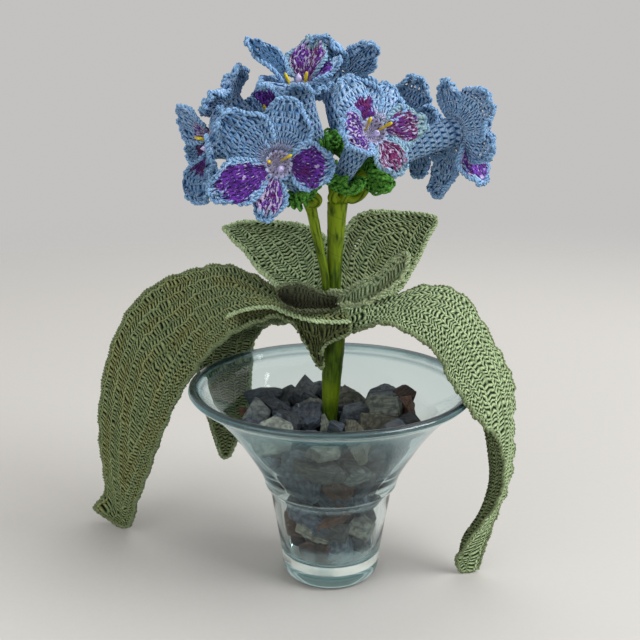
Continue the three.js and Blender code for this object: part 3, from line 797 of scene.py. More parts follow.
@dataclass(frozen=True)
class Cotton:
    """Crocheted mercerised cotton: stitches in painted shade and highlight, a twist in each strand
    and a soft sheen.

    Attributes:
        name: The material's name.
        stitch: The stitch that it is worked in.
        bright: The crests of the strands, lighter as a painted highlight.
        body: The strands' sides.
        deep: The ground between the strands, dark as painted shade.
        other: The second dye of the variegated yarn.
        edge: The chain round the edges.
        shade: What painted shade multiplies the colour by, on undersides and other faces in the
            dark.
        holes: How wide the holes between the stitches are, from 0 to 1.
        dye_size: The size of a stretch of one dye, in stitches along.
        groove: The heights over which the grooves' painted shade gives way to the strands' sides.
        sheen: The colour of the fibres' sheen.
        crest: The painted highlight on the crests in pieces of the second dye, or none.
        soft_edge: How far the painted highlight on the edge chain's crests keeps the chain's own
            colour.
        twist_scale: How fine the strands' twist is, in flecks to a metre.
        twist_shade: What the colour between the flecks is multiplied by.
        take_up_shade: What the colour of tighter stitches is multiplied by.
    """

    name: str
    stitch: Stitch
    bright: str
    body: str
    deep: str
    other: str
    edge: str
    shade: str
    holes: float = 0.0
    dye_size: float = 14.0
    groove: tuple[float, float] = (0.0, 0.6)
    sheen: str = "#FFFFFF"
    crest: str = ""
    soft_edge: float = 0.0
    twist_scale: float = 2300.0
    twist_shade: tuple = (0.55, 0.56, 0.6, 1.0)
    take_up_shade: tuple = (0.5, 0.52, 0.5, 1.0)

    def colour(self, yarn: Yarn) -> Value:
        """The colour: two dyes by turns, painted shade between strands, painted highlights on them.

        Args:
            yarn: What it is made from.

        Returns:
            The colour.
        """
        tree = yarn.tree
        varied = 1.0 - tree.mark("plain")
        dye = yarn.streaks(1.0 / self.dye_size, 0.4, 1.5).ramp(0.44, 0.62) * varied
        body = tree.mix(dye, linear(self.body), linear(self.other))
        edge = tree.mark("chain").ramp(0.05, 0.15)
        body = tree.mix(edge * 0.8, body, linear(self.edge))
        crest = linear(self.bright)
        if self.crest:
            crest = tree.mix(varied * (1.0 - edge), crest, linear(self.crest))
        crest = tree.mix(edge * self.soft_edge, crest, linear(self.edge))
        # Painted highlights on the crests and painted shade in the grooves, by the stitch height
        body = tree.mix(yarn.height.ramp(0.55, 0.95) * 0.85, body, crest)
        return tree.mix(yarn.height.ramp(*self.groove), linear(self.deep), body)

    def build(self) -> Material:
        """Makes the material: the colour, the strands' twist, the bump, the holes, the sheen.

        Returns:
            The material.
        """
        tree = Tree(self.name)
        along, rows = tree.stitches()
        height = larger(self.stitch.height(along, rows), tree.mark("chain"))
        yarn = Yarn(tree, height, along, rows)
        fleck = tree.noise(tree.place(), self.twist_scale, 1.0).ramp(0.32, 0.68)
        colour = tree.multiplied(self.colour(yarn), self.twist_shade, 1.0 - fleck)
        take_up = yarn.streaks(0.8, 0.9, 2.0).ramp(0.5, 0.68)
        colour = tree.multiplied(colour, self.take_up_shade, take_up * 0.5)
        # Painted shade: the colour is darkened as far as the mark shade is set
        sockets = {
            "Base_Color": tree.multiplied(colour, linear(self.shade), tree.mark("shade")),
            "Roughness": 0.9 - 0.2 * fleck,
            "Sheen_Weight": 0.1,
            "Sheen_Roughness": 0.45,
            "Sheen_Tint": linear(self.sheen),
            "Specular_IOR_Level": 0.16,
            "Normal": tree.bump(height + 0.3 * fleck, 0.0006, 1.0),
        }
        if self.holes > 0:
            open_part = tree.mark("open") * (1.0 - tree.mark("chain").ramp(0.0, 0.1))
            gap = self.stitch.hole(along, rows) * open_part
            sockets["Alpha"] = 1.0 - gap.ramp(1.0 - self.holes, 1.04 - self.holes)
        return tree.finish(**sockets)


@dataclass(frozen=True)
class PetalCotton(Cotton):
    """The blooms' cotton: blue, with purple hearts that fade to maroon and white flecks."""

    purple: str = "#7A3CB4"
    plum: str = "#4C1F80"
    maroon: str = "#7E2862"
    lilac: str = "#D6CCEC"
    pale: str = "#A9C8B4"
    # night is the painted shade in the grooves of the purple hearts
    night: str = "#2E1440"

    def colour(self, yarn: Yarn) -> Value:
        """The blue cotton outside the hearts, paler at the throat, and the purple hearts.

        Args:
            yarn: What it is made from.

        Returns:
            The colour.
        """
        tree, height = yarn.tree, yarn.height
        blue = super().colour(yarn)
        speckle = yarn.streaks(1.2, 1.1, 3.0, 1.3)
        streak = yarn.streaks(1.5, 0.42, 2.0)
        wander = tree.noise(tree.place(), 190.0, 2.0)
        violet = tree.mix(wander.ramp(0.35, 0.65), linear(self.purple), linear(self.plum))
        red = (tree.mark("maroon") + (wander - 0.5) * 0.7).ramp(0.35, 0.7)
        violet = tree.mix(red, violet, linear(self.maroon))
        mixed = speckle * 0.6 + streak * 0.4
        fleck = (mixed + (tree.mark("fleck") - 0.5) * 0.3).ramp(0.53, 0.6)
        violet = tree.mix(fleck * 0.9, violet, linear(self.lilac))
        # Painted shade in the grooves of the purple hearts
        violet = tree.mix(height.ramp(0.0, 0.55), linear(self.night), violet)
        ragged = (streak - 0.5) * 2.2 + (speckle - 0.5) * 1.2
        patch = (tree.mark("dye") + ragged).ramp(0.42, 0.58)
        lightened = tree.mix(tree.mark("pale"), blue, linear(self.pale))
        blush = tree.mark("blush")
        lit = tree.mix(blush * 0.8, lightened, linear(self.lilac))
        # Painted shade in the grooves of the blue, less near the throat
        lit = tree.mix(height.ramp(0.0, 0.4) + blush * 0.45, linear(self.deep), lit)
        return tree.mix(patch, lit, violet)


@dataclass(frozen=True)
class Glass:
    """Thick clear pressed glass that is aqua where the light runs far inside it.

    The body of the glass takes a little red out of the light. The mark "tint" is 0 in the clear
    parts and 1 on the lip, where a little light scatters, the mark "line" is 1 along painted dark
    lines that stand in for dark reflections at the edges, and the mark "glow" is 1 where painted
    light makes the thick foot pale and painted highlights run along the rings and the lip.
    """

    name: str = "pressed_glass"
    clear: str = "#FBFEFE"
    aqua: str = "#C2E0E3"
    milk: str = "#6FA8B0"
    # dark is the colour of painted dark lines, which stand in for dark reflections at the edges
    dark: str = "#242C2F"
    # pale is the colour of the painted highlights and of the pale painted light in the foot
    pale: str = "#DDE2DA"
    passed: tuple = (0.2, 0.76, 0.74, 1.0)
    density: float = 12.0
    bending: float = 1.3

    def build(self) -> Material:
        """Makes the material.

        Returns:
            The material.
        """
        tree = Tree(self.name)
        tint, line, glow = tree.mark("tint"), tree.mark("line"), tree.mark("glow")
        smear = tree.noise(tree.place(), 60.0, 3.0)
        slant = tree.node("ShaderNodeLayerWeight", {}, {"Blend": 0.5}, "Facing").ramp(0.55, 0.95)
        material = tree.finish(
            Base_Color=tree.mix(tint.ramp(0.0, 0.6), linear(self.clear), linear(self.aqua)),
            Roughness=smear.ramp(0.6, 0.9) * 0.015,
            Transmission_Weight=1.0,
            IOR=self.bending,
            Specular_IOR_Level=0.1,
            Coat_Weight=larger(tint.ramp(0.5, 0.9), glow) * 0.7,
        )
        milk = tree.nodes.new("ShaderNodeBsdfPrincipled")
        # The milk turns to painted dark lines along the edges and to pale painted highlights
        toned = tree.mix(line.ramp(0.2, 0.9), linear(self.milk), linear(self.dark))
        tree.feed(milk.inputs["Base Color"], tree.mix(glow, toned, linear(self.pale)))
        milk.inputs["Roughness"].default_value = 0.1
        blend = tree.nodes.new("ShaderNodeMixShader")
        spread = tint.ramp(0.5, 1.0) * (0.25 + 0.2 * smear) + tint * slant * 1.5
        # Painted highlights, broken along the rings
        broken = glow * (0.35 + 0.4 * smear.ramp(0.4, 0.6))
        tree.feed(blend.inputs[0], larger(larger(spread, line * 0.75), broken))
        tree.links.new(tree.shader.outputs[0], blend.inputs[1])
        tree.links.new(milk.outputs[0], blend.inputs[2])
        body = tree.nodes.new("ShaderNodeVolumeAbsorption")
        body.inputs["Color"].default_value = self.passed
        body.inputs["Density"].default_value = self.density
        output = next(node for node in tree.nodes if node.type == "OUTPUT_MATERIAL")
        tree.links.new(blend.outputs[0], output.inputs["Surface"])
        tree.links.new(body.outputs[0], output.inputs["Volume"])
        return material


@dataclass(frozen=True)
class Slate:
    """Dry split slate: a stone colour for each chip, with cleavage lines, dust and rust.

    The mark "tone" picks the stone, and "pressed" is how far a chip against the glass is brightened
    with painted light.
    """

    name: str = "split_slate"
    stops: tuple[tuple[float, str], ...] = (
        (0.0, "#46505A"), (0.3, "#525D64"), (0.54, "#5A5846"), (0.62, "#8E9486"),
        (0.68, "#4A545A"), (0.86, "#222528"), (0.96, "#6A4429"),
    )
    rust: str = "#5E4630"
    dust: str = "#9DA3A2"
    shadow: tuple = (0.34, 0.35, 0.38, 1.0)
    dimmed: tuple = (0.8, 0.82, 0.84, 1.0)
    # How far painted light brightens a chip against the glass
    painted_light_boost: tuple = (3.8, 3.85, 3.8, 1.0)

    def build(self) -> Material:
        """Makes the material.

        Returns:
            The material.
        """
        tree = Tree(self.name)
        place = tree.place()
        across, level = tree.stitches()
        grain = tree.noise(place, 420.0, 6.0)
        blotch = tree.noise(place, 90.0, 3.0)
        layers = tree.streaks(across * 0.12, level * 1.5, 3.0)
        settings = {"stops": [(share, linear(code)) for share, code in self.stops]}
        tone = tree.mark("tone") + (blotch - 0.5) * 0.08
        stone = tree.node("ShaderNodeValToRGB", settings, {0: tone})
        rust = (blotch * 0.6 + grain * 0.4).ramp(0.57, 0.69) * 0.4
        colour = tree.mix(rust, stone, linear(self.rust))
        colour = tree.mix(grain.ramp(0.64, 0.8) * 0.4, colour, linear(self.dust))
        split = layers.ramp(0.42, 0.5) * 0.6 + 0.4
        lit = grain.ramp(0.33, 0.6) * split
        colour = tree.mix(lit, tree.multiplied(colour, self.shadow), colour)
        colour = tree.multiplied(colour, self.dimmed)
        return tree.finish(
            # Painted light: chips against the glass are brightened as far as the mark says
            Base_Color=tree.multiplied(colour, self.painted_light_boost, tree.mark("pressed")),
            Roughness=0.6 + grain * 0.3,
            Normal=tree.bump(grain * 0.6 + layers, 0.0012, 0.9),
        )


@dataclass(frozen=True)
class Tape:
    """Waxed green paper tape, stretched lengthwise and wound on the slant.

    It is lime in patches, and, as painted light on the upper stems, in streaks that grow towards
    their top: lightened is where that begins and where it is full, in metres up.
    """

    name: str = "wound_tape"
    bright: str = "#3F5603"
    deep: str = "#1B2903"
    seam: str = "#141E03"
    lime: str = "#8CA412"
    lightened: tuple[float, float] = (0.118, 0.2)

    def build(self) -> Material:
        """Makes the material.

        Returns:
            The material.
        """
        tree = Tree(self.name)
        along, rows = tree.stitches()
        wrap = (rows + along) % 1.0
        crease = tree.streaks(along * 22.0, (rows + along) * 1.2, 2.0)
        fibre = tree.noise(tree.place(), 900.0, 3.0)
        wide = tree.noise(tree.place(), 38.0, 1.0)
        streak = tree.streaks(along * 9.0, (rows + along) * 0.7, 2.0)
        # Painted light: the upper stems turn lime towards their top
        tall = tree.part(tree.place(), 2).ramp(*self.lightened)
        body = tree.mix(crease.ramp(0.35, 0.65) * 0.8, linear(self.bright), linear(self.deep))
        lime = larger(wide.ramp(0.5, 0.72) * 0.5, (streak + tall * 0.22).ramp(0.5, 0.7) * tall)
        body = tree.mix(lime * 0.75, body, linear(self.lime))
        seam = wrap.ramp(0.9, 1.0)
        return tree.finish(
            Base_Color=tree.mix(seam * 0.3, body, linear(self.seam)),
            Roughness=0.42 + fibre * 0.22,
            Specular_IOR_Level=0.16,
            Normal=tree.bump(0.6 * crease + 0.3 * fibre - 0.5 * seam, 0.0002, 0.7),
        )


@dataclass(frozen=True)
class Bead:
    """A plain coloured piece: coated wire or a pearly bead."""

    name: str
    bright: str
    deep: str
    roughness: float
    coat: float

    def build(self) -> Material:
        """Makes the material.

        Returns:
            The material.
        """
        tree = Tree(self.name)
        cloud = tree.noise(tree.place(), 700.0, 2.0)
        return tree.finish(
            Base_Color=tree.mix(cloud.ramp(0.3, 0.7), linear(self.deep), linear(self.bright)),
            Roughness=self.roughness + 0.15 * cloud,
            Coat_Weight=self.coat,
            Normal=tree.bump(cloud, 0.0001, 0.5),
        )


FINISHES = {
    Slot.GLASS: Glass(),
    Slot.SLATE: Slate(),
    Slot.STEM: Tape(),
    Slot.LEAF: Cotton(
        "leaf_cotton", LEAF_STITCH, "#D2E6B2", "#71885A", "#0C1206", "#777A40", "#A8C488",
        "#5C5A30", 0.3, groove=(0.18, 0.7), sheen="#A8C088", crest="#B8C288",
    ),
    Slot.YOUNG_LEAF: Cotton(
        "young_leaf_cotton", LEAF_STITCH, "#B4C296", "#7A8E66", "#424E32", "#6E6A3A", "#ACC088",
        "#30280A", groove=(0.1, 0.62), sheen="#A8B080",
    ),
    Slot.CALYX: Cotton(
        "calyx_cotton", LEAF_STITCH, "#78BE50", "#3A7A25", "#091A04", "#2F6A20", "#428A2C",
        "#3C6A30", sheen="#6AA850",
    ),
    Slot.PETAL: PetalCotton(
        "petal_cotton", PETAL_STITCH, "#C6E0FA", "#7AACDC", "#1F4574", "#5C90C6", "#8ABAE6",
        "#5A8098", 0.62, 9.0, sheen="#A8C8EC", soft_edge=0.75,
    ),
    Slot.STAMEN: Bead("stamen_wire", "#E6D000", "#B09600", 0.35, 0.2),
    Slot.PISTIL: Bead("pistil_bead", "#D8D2F0", "#A99CD4", 0.2, 0.6),
}


# The vase


@dataclass
class Vase:
    """The thick flared vase, as height and radius of its outside and its inside.

    The marks are values by height, for the aqua tint, the painted dark lines and the painted
    highlights. They end just over the lip.
    """

    outside: Pairs = (
        (0.15, 6.0), (0.05, 15.0), (0.0, 18.6), (0.35, 20.0), (1.3, 21.6), (3.0, 22.9),
        (6.0, 23.6), (7.2, 23.72), (8.2, 23.84), (9.0, 23.93), (13.2, 24.4), (14.0, 24.5),
        (15.0, 24.6), (16.2, 24.77), (20.0, 25.34), (23.0, 25.8), (30.0, 26.9),
        (42.0, 28.9), (44.4, 29.25), (45.2, 29.4), (46.0, 29.7),
        (46.5, 30.6), (47.2, 31.5), (48.4, 31.9), (50.0, 32.2), (54.0, 33.6), (60.0, 36.9),
        (66.0, 40.6), (71.0, 43.8), (76.0, 47.3), (81.0, 51.2), (86.0, 55.8), (89.0, 59.0),
        (90.4, 60.7), (91.2, 61.6), (91.8, 62.6), (92.5, 63.8), (93.4, 65.0), (94.4, 65.9),
        (95.4, 66.5), (96.3, 66.3), (96.9, 65.7), (97.25, 64.9),
    )
    inside: Pairs = (
        (97.3, 64.1), (97.1, 63.3), (96.6, 62.5), (95.2, 61.2), (92.0, 58.3), (89.0, 55.2),
        (86.0, 52.2), (81.0, 47.8), (76.0, 44.0), (71.0, 40.7), (66.0, 37.4), (60.0, 33.6),
        (54.0, 30.0), (51.0, 28.3), (49.0, 27.4), (46.5, 26.7), (30.0, 23.9), (16.0, 21.8),
        (13.0, 20.8), (11.4, 19.2), (10.7, 16.5), (10.5, 12.0), (10.5, 5.0),
    )
    tint: Pairs = (
        (45.0, 0.0), (47.0, 0.3), (80.0, 0.36), (90.0, 0.45), (92.0, 0.5), (93.2, 0.75),
        (94.6, 0.8), (95.5, 0.6), (96.4, 0.8), (97.3, 0.7),
    )
    # Painted dark lines at the foot, the waist and under and over the lip
    line: Pairs = (
        (6.0, 0.0), (7.2, 0.8), (8.2, 0.0), (13.2, 0.0), (14.0, 0.7), (15.0, 0.3), (16.2, 0.0),
        (45.2, 0.0), (46.0, 0.8), (46.5, 0.0), (90.4, 0.0), (91.2, 0.35), (91.8, 0.55),
        (92.5, 0.1), (96.3, 0.1), (96.6, 0.9), (97.3, 1.0),
    )
    # Painted highlights: the pale band in the foot, the rings and the lip
    glow: Pairs = (
        (8.2, 0.0), (9.0, 1.0), (13.2, 1.0), (14.0, 0.0), (15.0, 0.2), (16.2, 0.5),
        (20.0, 0.4), (23.0, 0.0), (42.0, 0.0), (44.4, 0.6), (45.2, 0.0), (46.5, 0.0),
        (47.2, 0.9), (48.4, 0.0), (92.5, 0.0), (93.4, 0.9), (94.4, 0.1), (95.4, 0.35),
        (96.3, 0.2), (96.6, 0.0),
    )
    segments: int = 160

    def build(self, material: Material) -> None:
        """Turns the profile round the axis, from the foot up, over the lip and down.

        Args:
            material: The glass.
        """
        heights, radii = np.array([*self.outside, *self.inside]).T
        marked = np.arange(len(radii)) <= len(self.outside) + 2
        rings = turned(radii, heights, self.segments)
        marks = {
            name: np.tile((np.interp(heights, *np.array(table).T) * marked)[:, None], self.segments)
            for name, table in (("tint", self.tint), ("line", self.line), ("glow", self.glow))
        }
        shell = loft_shell(rings, np.zeros((len(radii), self.segments + 1, 2)), marks)
        Piece("vase_pressed_glass", "glass_vase", Slot.GLASS, material).make(shell)

    def room(self, heights: Array) -> Array:
        """The radius of the inside at each height."""
        profile = np.array(self.inside)[::-1]
        return np.interp(heights, profile[:, 0], profile[:, 1])


@dataclass
class Chippings:
    """Split chips of slate that fill the vase, heaped a little towards one side.

    Attributes:
        vase: The vase that they lie in.
        size: The width of a usual chip.
        rings: The heights of the rings of chips against the glass.
        ring_inset: How far inside the glass the rings' middles lie.
        ring_step: The distance from chip to chip in a ring.
        top_count: How many chips the spiral over the top has.
        bed_top: The height of the bed at its middle.
        wall_gap: The room between the chips and the glass.
        stem_room: The radius that stays free for the stem.
        floor_gap: The room above the vase's floor.
        flatness: How flat the fan of rays is that a chip's points lie on.
        rays_round: Rays round a chip.
        rays_down: Rays from its top to its underside.
        seed: Where the random draws start.
        shown: The chips that the photo shows on top: middle, width and stone.
    """

    vase: Vase
    size: float = 20.5
    rings: tuple[float, ...] = (16.5, 27.0, 37.5, 48.0, 58.0, 67.5)
    ring_inset: float = 6.0
    ring_step: float = 14.5
    top_count: int = 20
    bed_top: float = 74.5
    wall_gap: float = 0.9
    stem_room: float = 4.3
    floor_gap: float = 0.5
    flatness: float = 0.42
    rays_round: int = 32
    rays_down: int = 18
    seed: int = 20
    shown: tuple[tuple[float, ...], ...] = (
        (24.5, 8, 81, 28, 0.62), (-15, 1, 78, 24, 0.02), (-29, 11, 79, 23, 0.76),
        (-39, 24, 78, 22, 0.22), (-17, 30, 79, 25, 0.36), (11.5, 1, 78, 19, 0.06),
        (-1.5, -7, 76.5, 14, 0.61), (8, 27, 78, 19, 0.5), (14, 20, 78.5, 19, 0.56),
        (36, 24, 79, 17, 0.88), (38, 10, 77, 18, 0.99), (-41, 10, 75.5, 13, 0.98),
        (-35, -2, 75.5, 17, 0.1), (32, -4, 76, 19, 0.12), (-24, -10, 76.5, 18, 0.3),
        (5, 13, 76, 17, 0.8), (-7, 12, 76.5, 18, 0.7), (-6, 37, 76, 19, 0.3),
    )

    def held_inside(self, points: Array) -> Array:
        """Points drawn in from the glass, pushed out of the stem's room and off the floor.

        Args:
            points: A chip's points, which change in place.

        Returns:
            The same points.
        """
        limit = self.vase.room(points[..., 2]) - self.wall_gap
        flat = np.linalg.norm(points[..., :2], axis=-1)
        share = np.where(flat > limit, limit / np.maximum(flat, 1e-6), 1.0)
        points[..., :2] *= share[..., None]
        near = np.linalg.norm(points[..., :2], axis=-1)
        pushed = np.where(near < self.stem_room, self.stem_room / np.maximum(near, 0.3), 1.0)
        points[..., :2] *= pushed[..., None]
        points[..., 2] = np.maximum(points[..., 2], CAVITY_FLOOR + self.floor_gap)
        return points

    def chip(
        self, draw: np.random.Generator, centre: tuple, size: float, tone: float = -1.0,
        pressed: float = 0.0,
    ) -> Shell:
        """One chip: the space inside random planes, most of them square to its flat faces.

        Each point lies on its own ray from the centre, at the nearest plane's distance.

        Args:
            draw: The source of its shape.
            centre: Its middle.
            size: Its greatest width.
            tone: Which stone it is, or below 0 for a drawn one.
            pressed: How far its faces are brightened with painted light, from 0 to 1.

        Returns:
            The chip's skin.
        """
        down = np.linspace(0.12, math.pi - 0.12, self.rays_down)
        rays = unit(turned(np.sin(down), -self.flatness * np.cos(down), self.rays_round))
        count = 5 + int(2 * draw.random())
        turn = 2 * math.pi * (np.arange(count) + 0.8 * draw.random(count)) / count
        tilt = 0.9 * (draw.random(count) - 0.5)
        walls = np.stack([np.cos(turn), np.sin(turn), tilt], 1)
        lean = 0.5 * (draw.random((3, 2)) - 0.5)
        flats = np.array([[*lean[0], 1.0], [*lean[1], -1.0], [*(2.2 * lean[2]), 1.0]])
        planes = unit(np.concatenate([walls, flats]))
        reach = np.concatenate([
            0.6 + 0.4 * draw.random(count), 0.22 + 0.2 * draw.random(2), [self.flatness]
        ])
        distance = (reach / np.maximum(rays @ planes.T, 0.05)).min(axis=-1)
        stretch = np.array([1.0, 0.66 + 0.3 * draw.random(), 1.0])
        corners = rays * distance[..., None] * stretch * size / 2
        spun = np.linalg.qr(draw.normal(size=(3, 3)))[0]
        spun = spun * np.sign(np.linalg.det(spun))
        points = self.held_inside(corners @ spun.T + np.array(centre, float))
        drawn = draw.random()
        tone = drawn * (1.0 - 0.12 * pressed) if tone < 0 else tone
        local = np.stack([corners[..., 0] + 300 * drawn, corners[..., 2]], -1)
        uv = np.concatenate([local, local[:, :1]], axis=1)
        return loft_shell(points, uv, {"tone": tone, "pressed": pressed})

    def ringed(self, draw: np.random.Generator, light_draw: np.random.Generator) -> list[Shell]:
        """Rings of chips against the glass, brightened with painted light, less above the vase's
        waist.

        Args:
            draw: The source of their shapes and places.
            light_draw: The source of how far painted light brightens them.

        Returns:
            The chips' skins.
        """
        made = []
        for height in self.rings:
            radius = float(self.vase.room(np.array(height))) - self.ring_inset
            count = int(round(2 * math.pi * radius / self.ring_step))
            for step in range(count):
                angle = 2 * math.pi * (step + 0.7 * draw.random()) / count
                level = height + 5.0 * (draw.random() - 0.5)
                spot = radius - 1.5 * draw.random()
                centre = (spot * math.cos(angle), spot * math.sin(angle), level)
                size = self.size * (0.76 + 0.33 * draw.random())
                # Painted light: a drawn share by which each chip against the glass is brightened
                painted_light_boost = light_draw.random() ** 1.3 * (1.0 if height < 50 else 0.85)
                made.append(self.chip(draw, centre, size, pressed=painted_light_boost))
        return made

    def heaped(self, draw: np.random.Generator) -> list[Shell]:
        """A spiral of chips over the top by the golden angle, and then the chips shown.

        Args:
            draw: The source of their shapes and places.

        Returns:
            The chips' skins.
        """
        made = []
        inner = self.ring_inset
        outer = float(self.vase.room(np.array(self.bed_top))) - self.ring_inset
        for step in range(self.top_count):
            share = (step + 0.7) / self.top_count
            spot = inner + (outer - inner) * math.sqrt(share)
            level = self.bed_top + 2.0 * share + 3.5 * draw.random()
            angle = step * GOLDEN_ANGLE
            centre = (spot * math.cos(angle), spot * math.sin(angle), level)
            made.append(self.chip(draw, centre, self.size * (0.85 + 0.35 * draw.random())))
        return made + [self.chip(draw, spec[:3], *spec[3:]) for spec in self.shown]

    def core(self) -> Shell:
        """The plain body inside the bed, which closes the view between the chips, in painted shade.

        Returns:
            Its skin.
        """
        heights = np.linspace(12.0, self.bed_top - 3.0, 12)
        radii = self.vase.room(heights) - 9.0
        radii[-1] = 6.0
        # The darkest stone, as painted shade between the chips
        return loft_shell(turned(radii, heights, 24), np.zeros((12, 25, 2)), {"tone": 0.86})

    def build(self, material: Material) -> None:
        """Lays the chips in rings against the glass, then over the top, round a core.

        Args:
            material: The slate.
        """
        draw, light_draw = (np.random.default_rng(self.seed + k) for k in (0, 1))
        chips = [*self.ringed(draw, light_draw), *self.heaped(draw)]
        piece = Piece("slate_chips", "slate_chippings", Slot.SLATE, material)
        piece.make(*chips, self.core(), smooth=False)


# Blooms


@dataclass(frozen=True)
class Lobe:
    """One lobe of a bloom.

    Attributes:
        turn: Its turn from the bloom's top, in degrees.
        reach: Its length from the mouth.
        half_width: Half of its greatest width.
        tilt: Its tilt from the plane of the mouth, in degrees.
        twist: Its twist about its own length, in degrees.
        dye: How far the purple heart reaches, as a share of the lobe.
        maroon: How red the heart is.
        fleck: How many white flecks the heart has.
        pale: How pale a green the rest is.
        dim: How far painted shade darkens its inner face.
        lace: How open the row of holes below its edge is.
    """

    turn: float
    reach: float
    half_width: float
    tilt: float
    twist: float = 0.0
    dye: float = 0.0
    maroon: float = 0.0
    fleck: float = 0.3
    pale: float = 0.0
    dim: float = 0.0
    lace: float = 0.0


@dataclass(frozen=True)
class Bloom:
    """A crocheted trumpet.

    Attributes:
        name: Its name, which its four nodes end in.
        throat: The middle of its mouth.
        facing: The direction that its mouth looks in.
        top: A direction on the side of its upper lobes.
        foot: Where its tube starts.
        fork: Where its pedicel leaves the stem.
        lobes: Its two upper and three lower lobes.
    """

    name: str
    throat: Point
    facing: Point
    top: Point
    foot: Point
    fork: Point
    lobes: tuple[Lobe, ...]

    def axes(self) -> tuple[Array, Array, Array]:
        """The right, top and facing directions.

        Returns:
            Three unit vectors.
        """
        facing = unit(np.array(self.facing, float))
        right = unit(np.cross(np.array(self.top, float), facing))
        return right, unit(np.cross(facing, right)), facing

    def placed(self, x: Array, y: Array, z: Array) -> Array:
        """Points from the throat: to the right, towards the top and along the facing."""
        moves = [np.asarray(v, float)[..., None] * axis for v, axis in zip((x, y, z), self.axes())]
        return np.array(self.throat, float) + moves[0] + moves[1] + moves[2]

    def tube_path(self, shares: Array) -> Array:
        """The quadratic Bezier curve from the foot to just under the mouth.

        Args:
            shares: Shares of the way, from 0 to 1.

        Returns:
            A point for each share.
        """
        t = shares[:, None]
        foot = np.array(self.foot, float)
        return (
            (1 - t) ** 2 * foot
            + 2 * t * (1 - t) * self.placed(0, 0, -13.0)
            + t**2 * self.placed(0, 0, -2.0)
        )

    def leaving(self, share: float) -> Array:
        """The unit direction in which the tube leaves its foot, over its first share."""
        foot, ahead = self.tube_path(np.array([0.0, share]))
        return unit(ahead - foot)

    def lobe_surface(self, lobe: Lobe, phase: float, u: Array, v: Array) -> Array:
        """The fan-shaped surface of a lobe in polar form round the throat.

        It widens as a raised sine, rounds off at its end, curls back by half of the curl from
        root to edge and waves more towards its sides. The frill is a finer wave that is only
        in its outer half.

        Args:
            lobe: The lobe.
            phase: Where its waves start.
            u: Shares from root to edge.
            v: Shares from side to side.

        Returns:
            The points, by u and by v.
        """
        u, v = u[:, None], v[None, :]
        across = 2 * v - 1
        widening = np.sin(math.pi * (0.08 + 0.6 * u)) ** 0.8
        widening = widening * (1 - 0.3 * ramp(u, 0.66, 1.0) ** 1.5)
        length = lobe.reach * u * (1 - 0.24 * across**4 * u)
        slope = np.radians(lobe.tilt + LOBE_CURL * (0.3 - 0.5 * u))
        twisted = np.radians(lobe.twist * np.minimum(1, 2 * u))
        radius = MOUTH_RADIUS - MOUTH_WALL / 2 + length * np.cos(slope)
        offset = lobe.half_width * widening * across
        angle = np.radians(lobe.turn) + offset * np.cos(twisted) / (radius + 2.5)
        wave = np.sin(LOBE_WAVES * math.pi * across + phase)
        ruffle = LOBE_RUFFLE * u * (0.35 + 0.65 * across**2) * wave
        finer_wave = np.sin(FRILL_WAVES * math.pi * across + 2.0 * phase)
        frill = LOBE_FRILL * ramp(u, 0.5, 1.0) * finer_wave
        rise = length * np.sin(slope) + ruffle + frill + offset * np.sin(twisted)
        return self.placed(radius * np.sin(angle), radius * np.cos(angle), rise)


LEFT_FORK = (-9.0, -3.8, 178.0)
MIDDLE_FORK = (1.6, 0.0, 180.0)
RIGHT_FORK = (3.6, 0.0, 180.0)

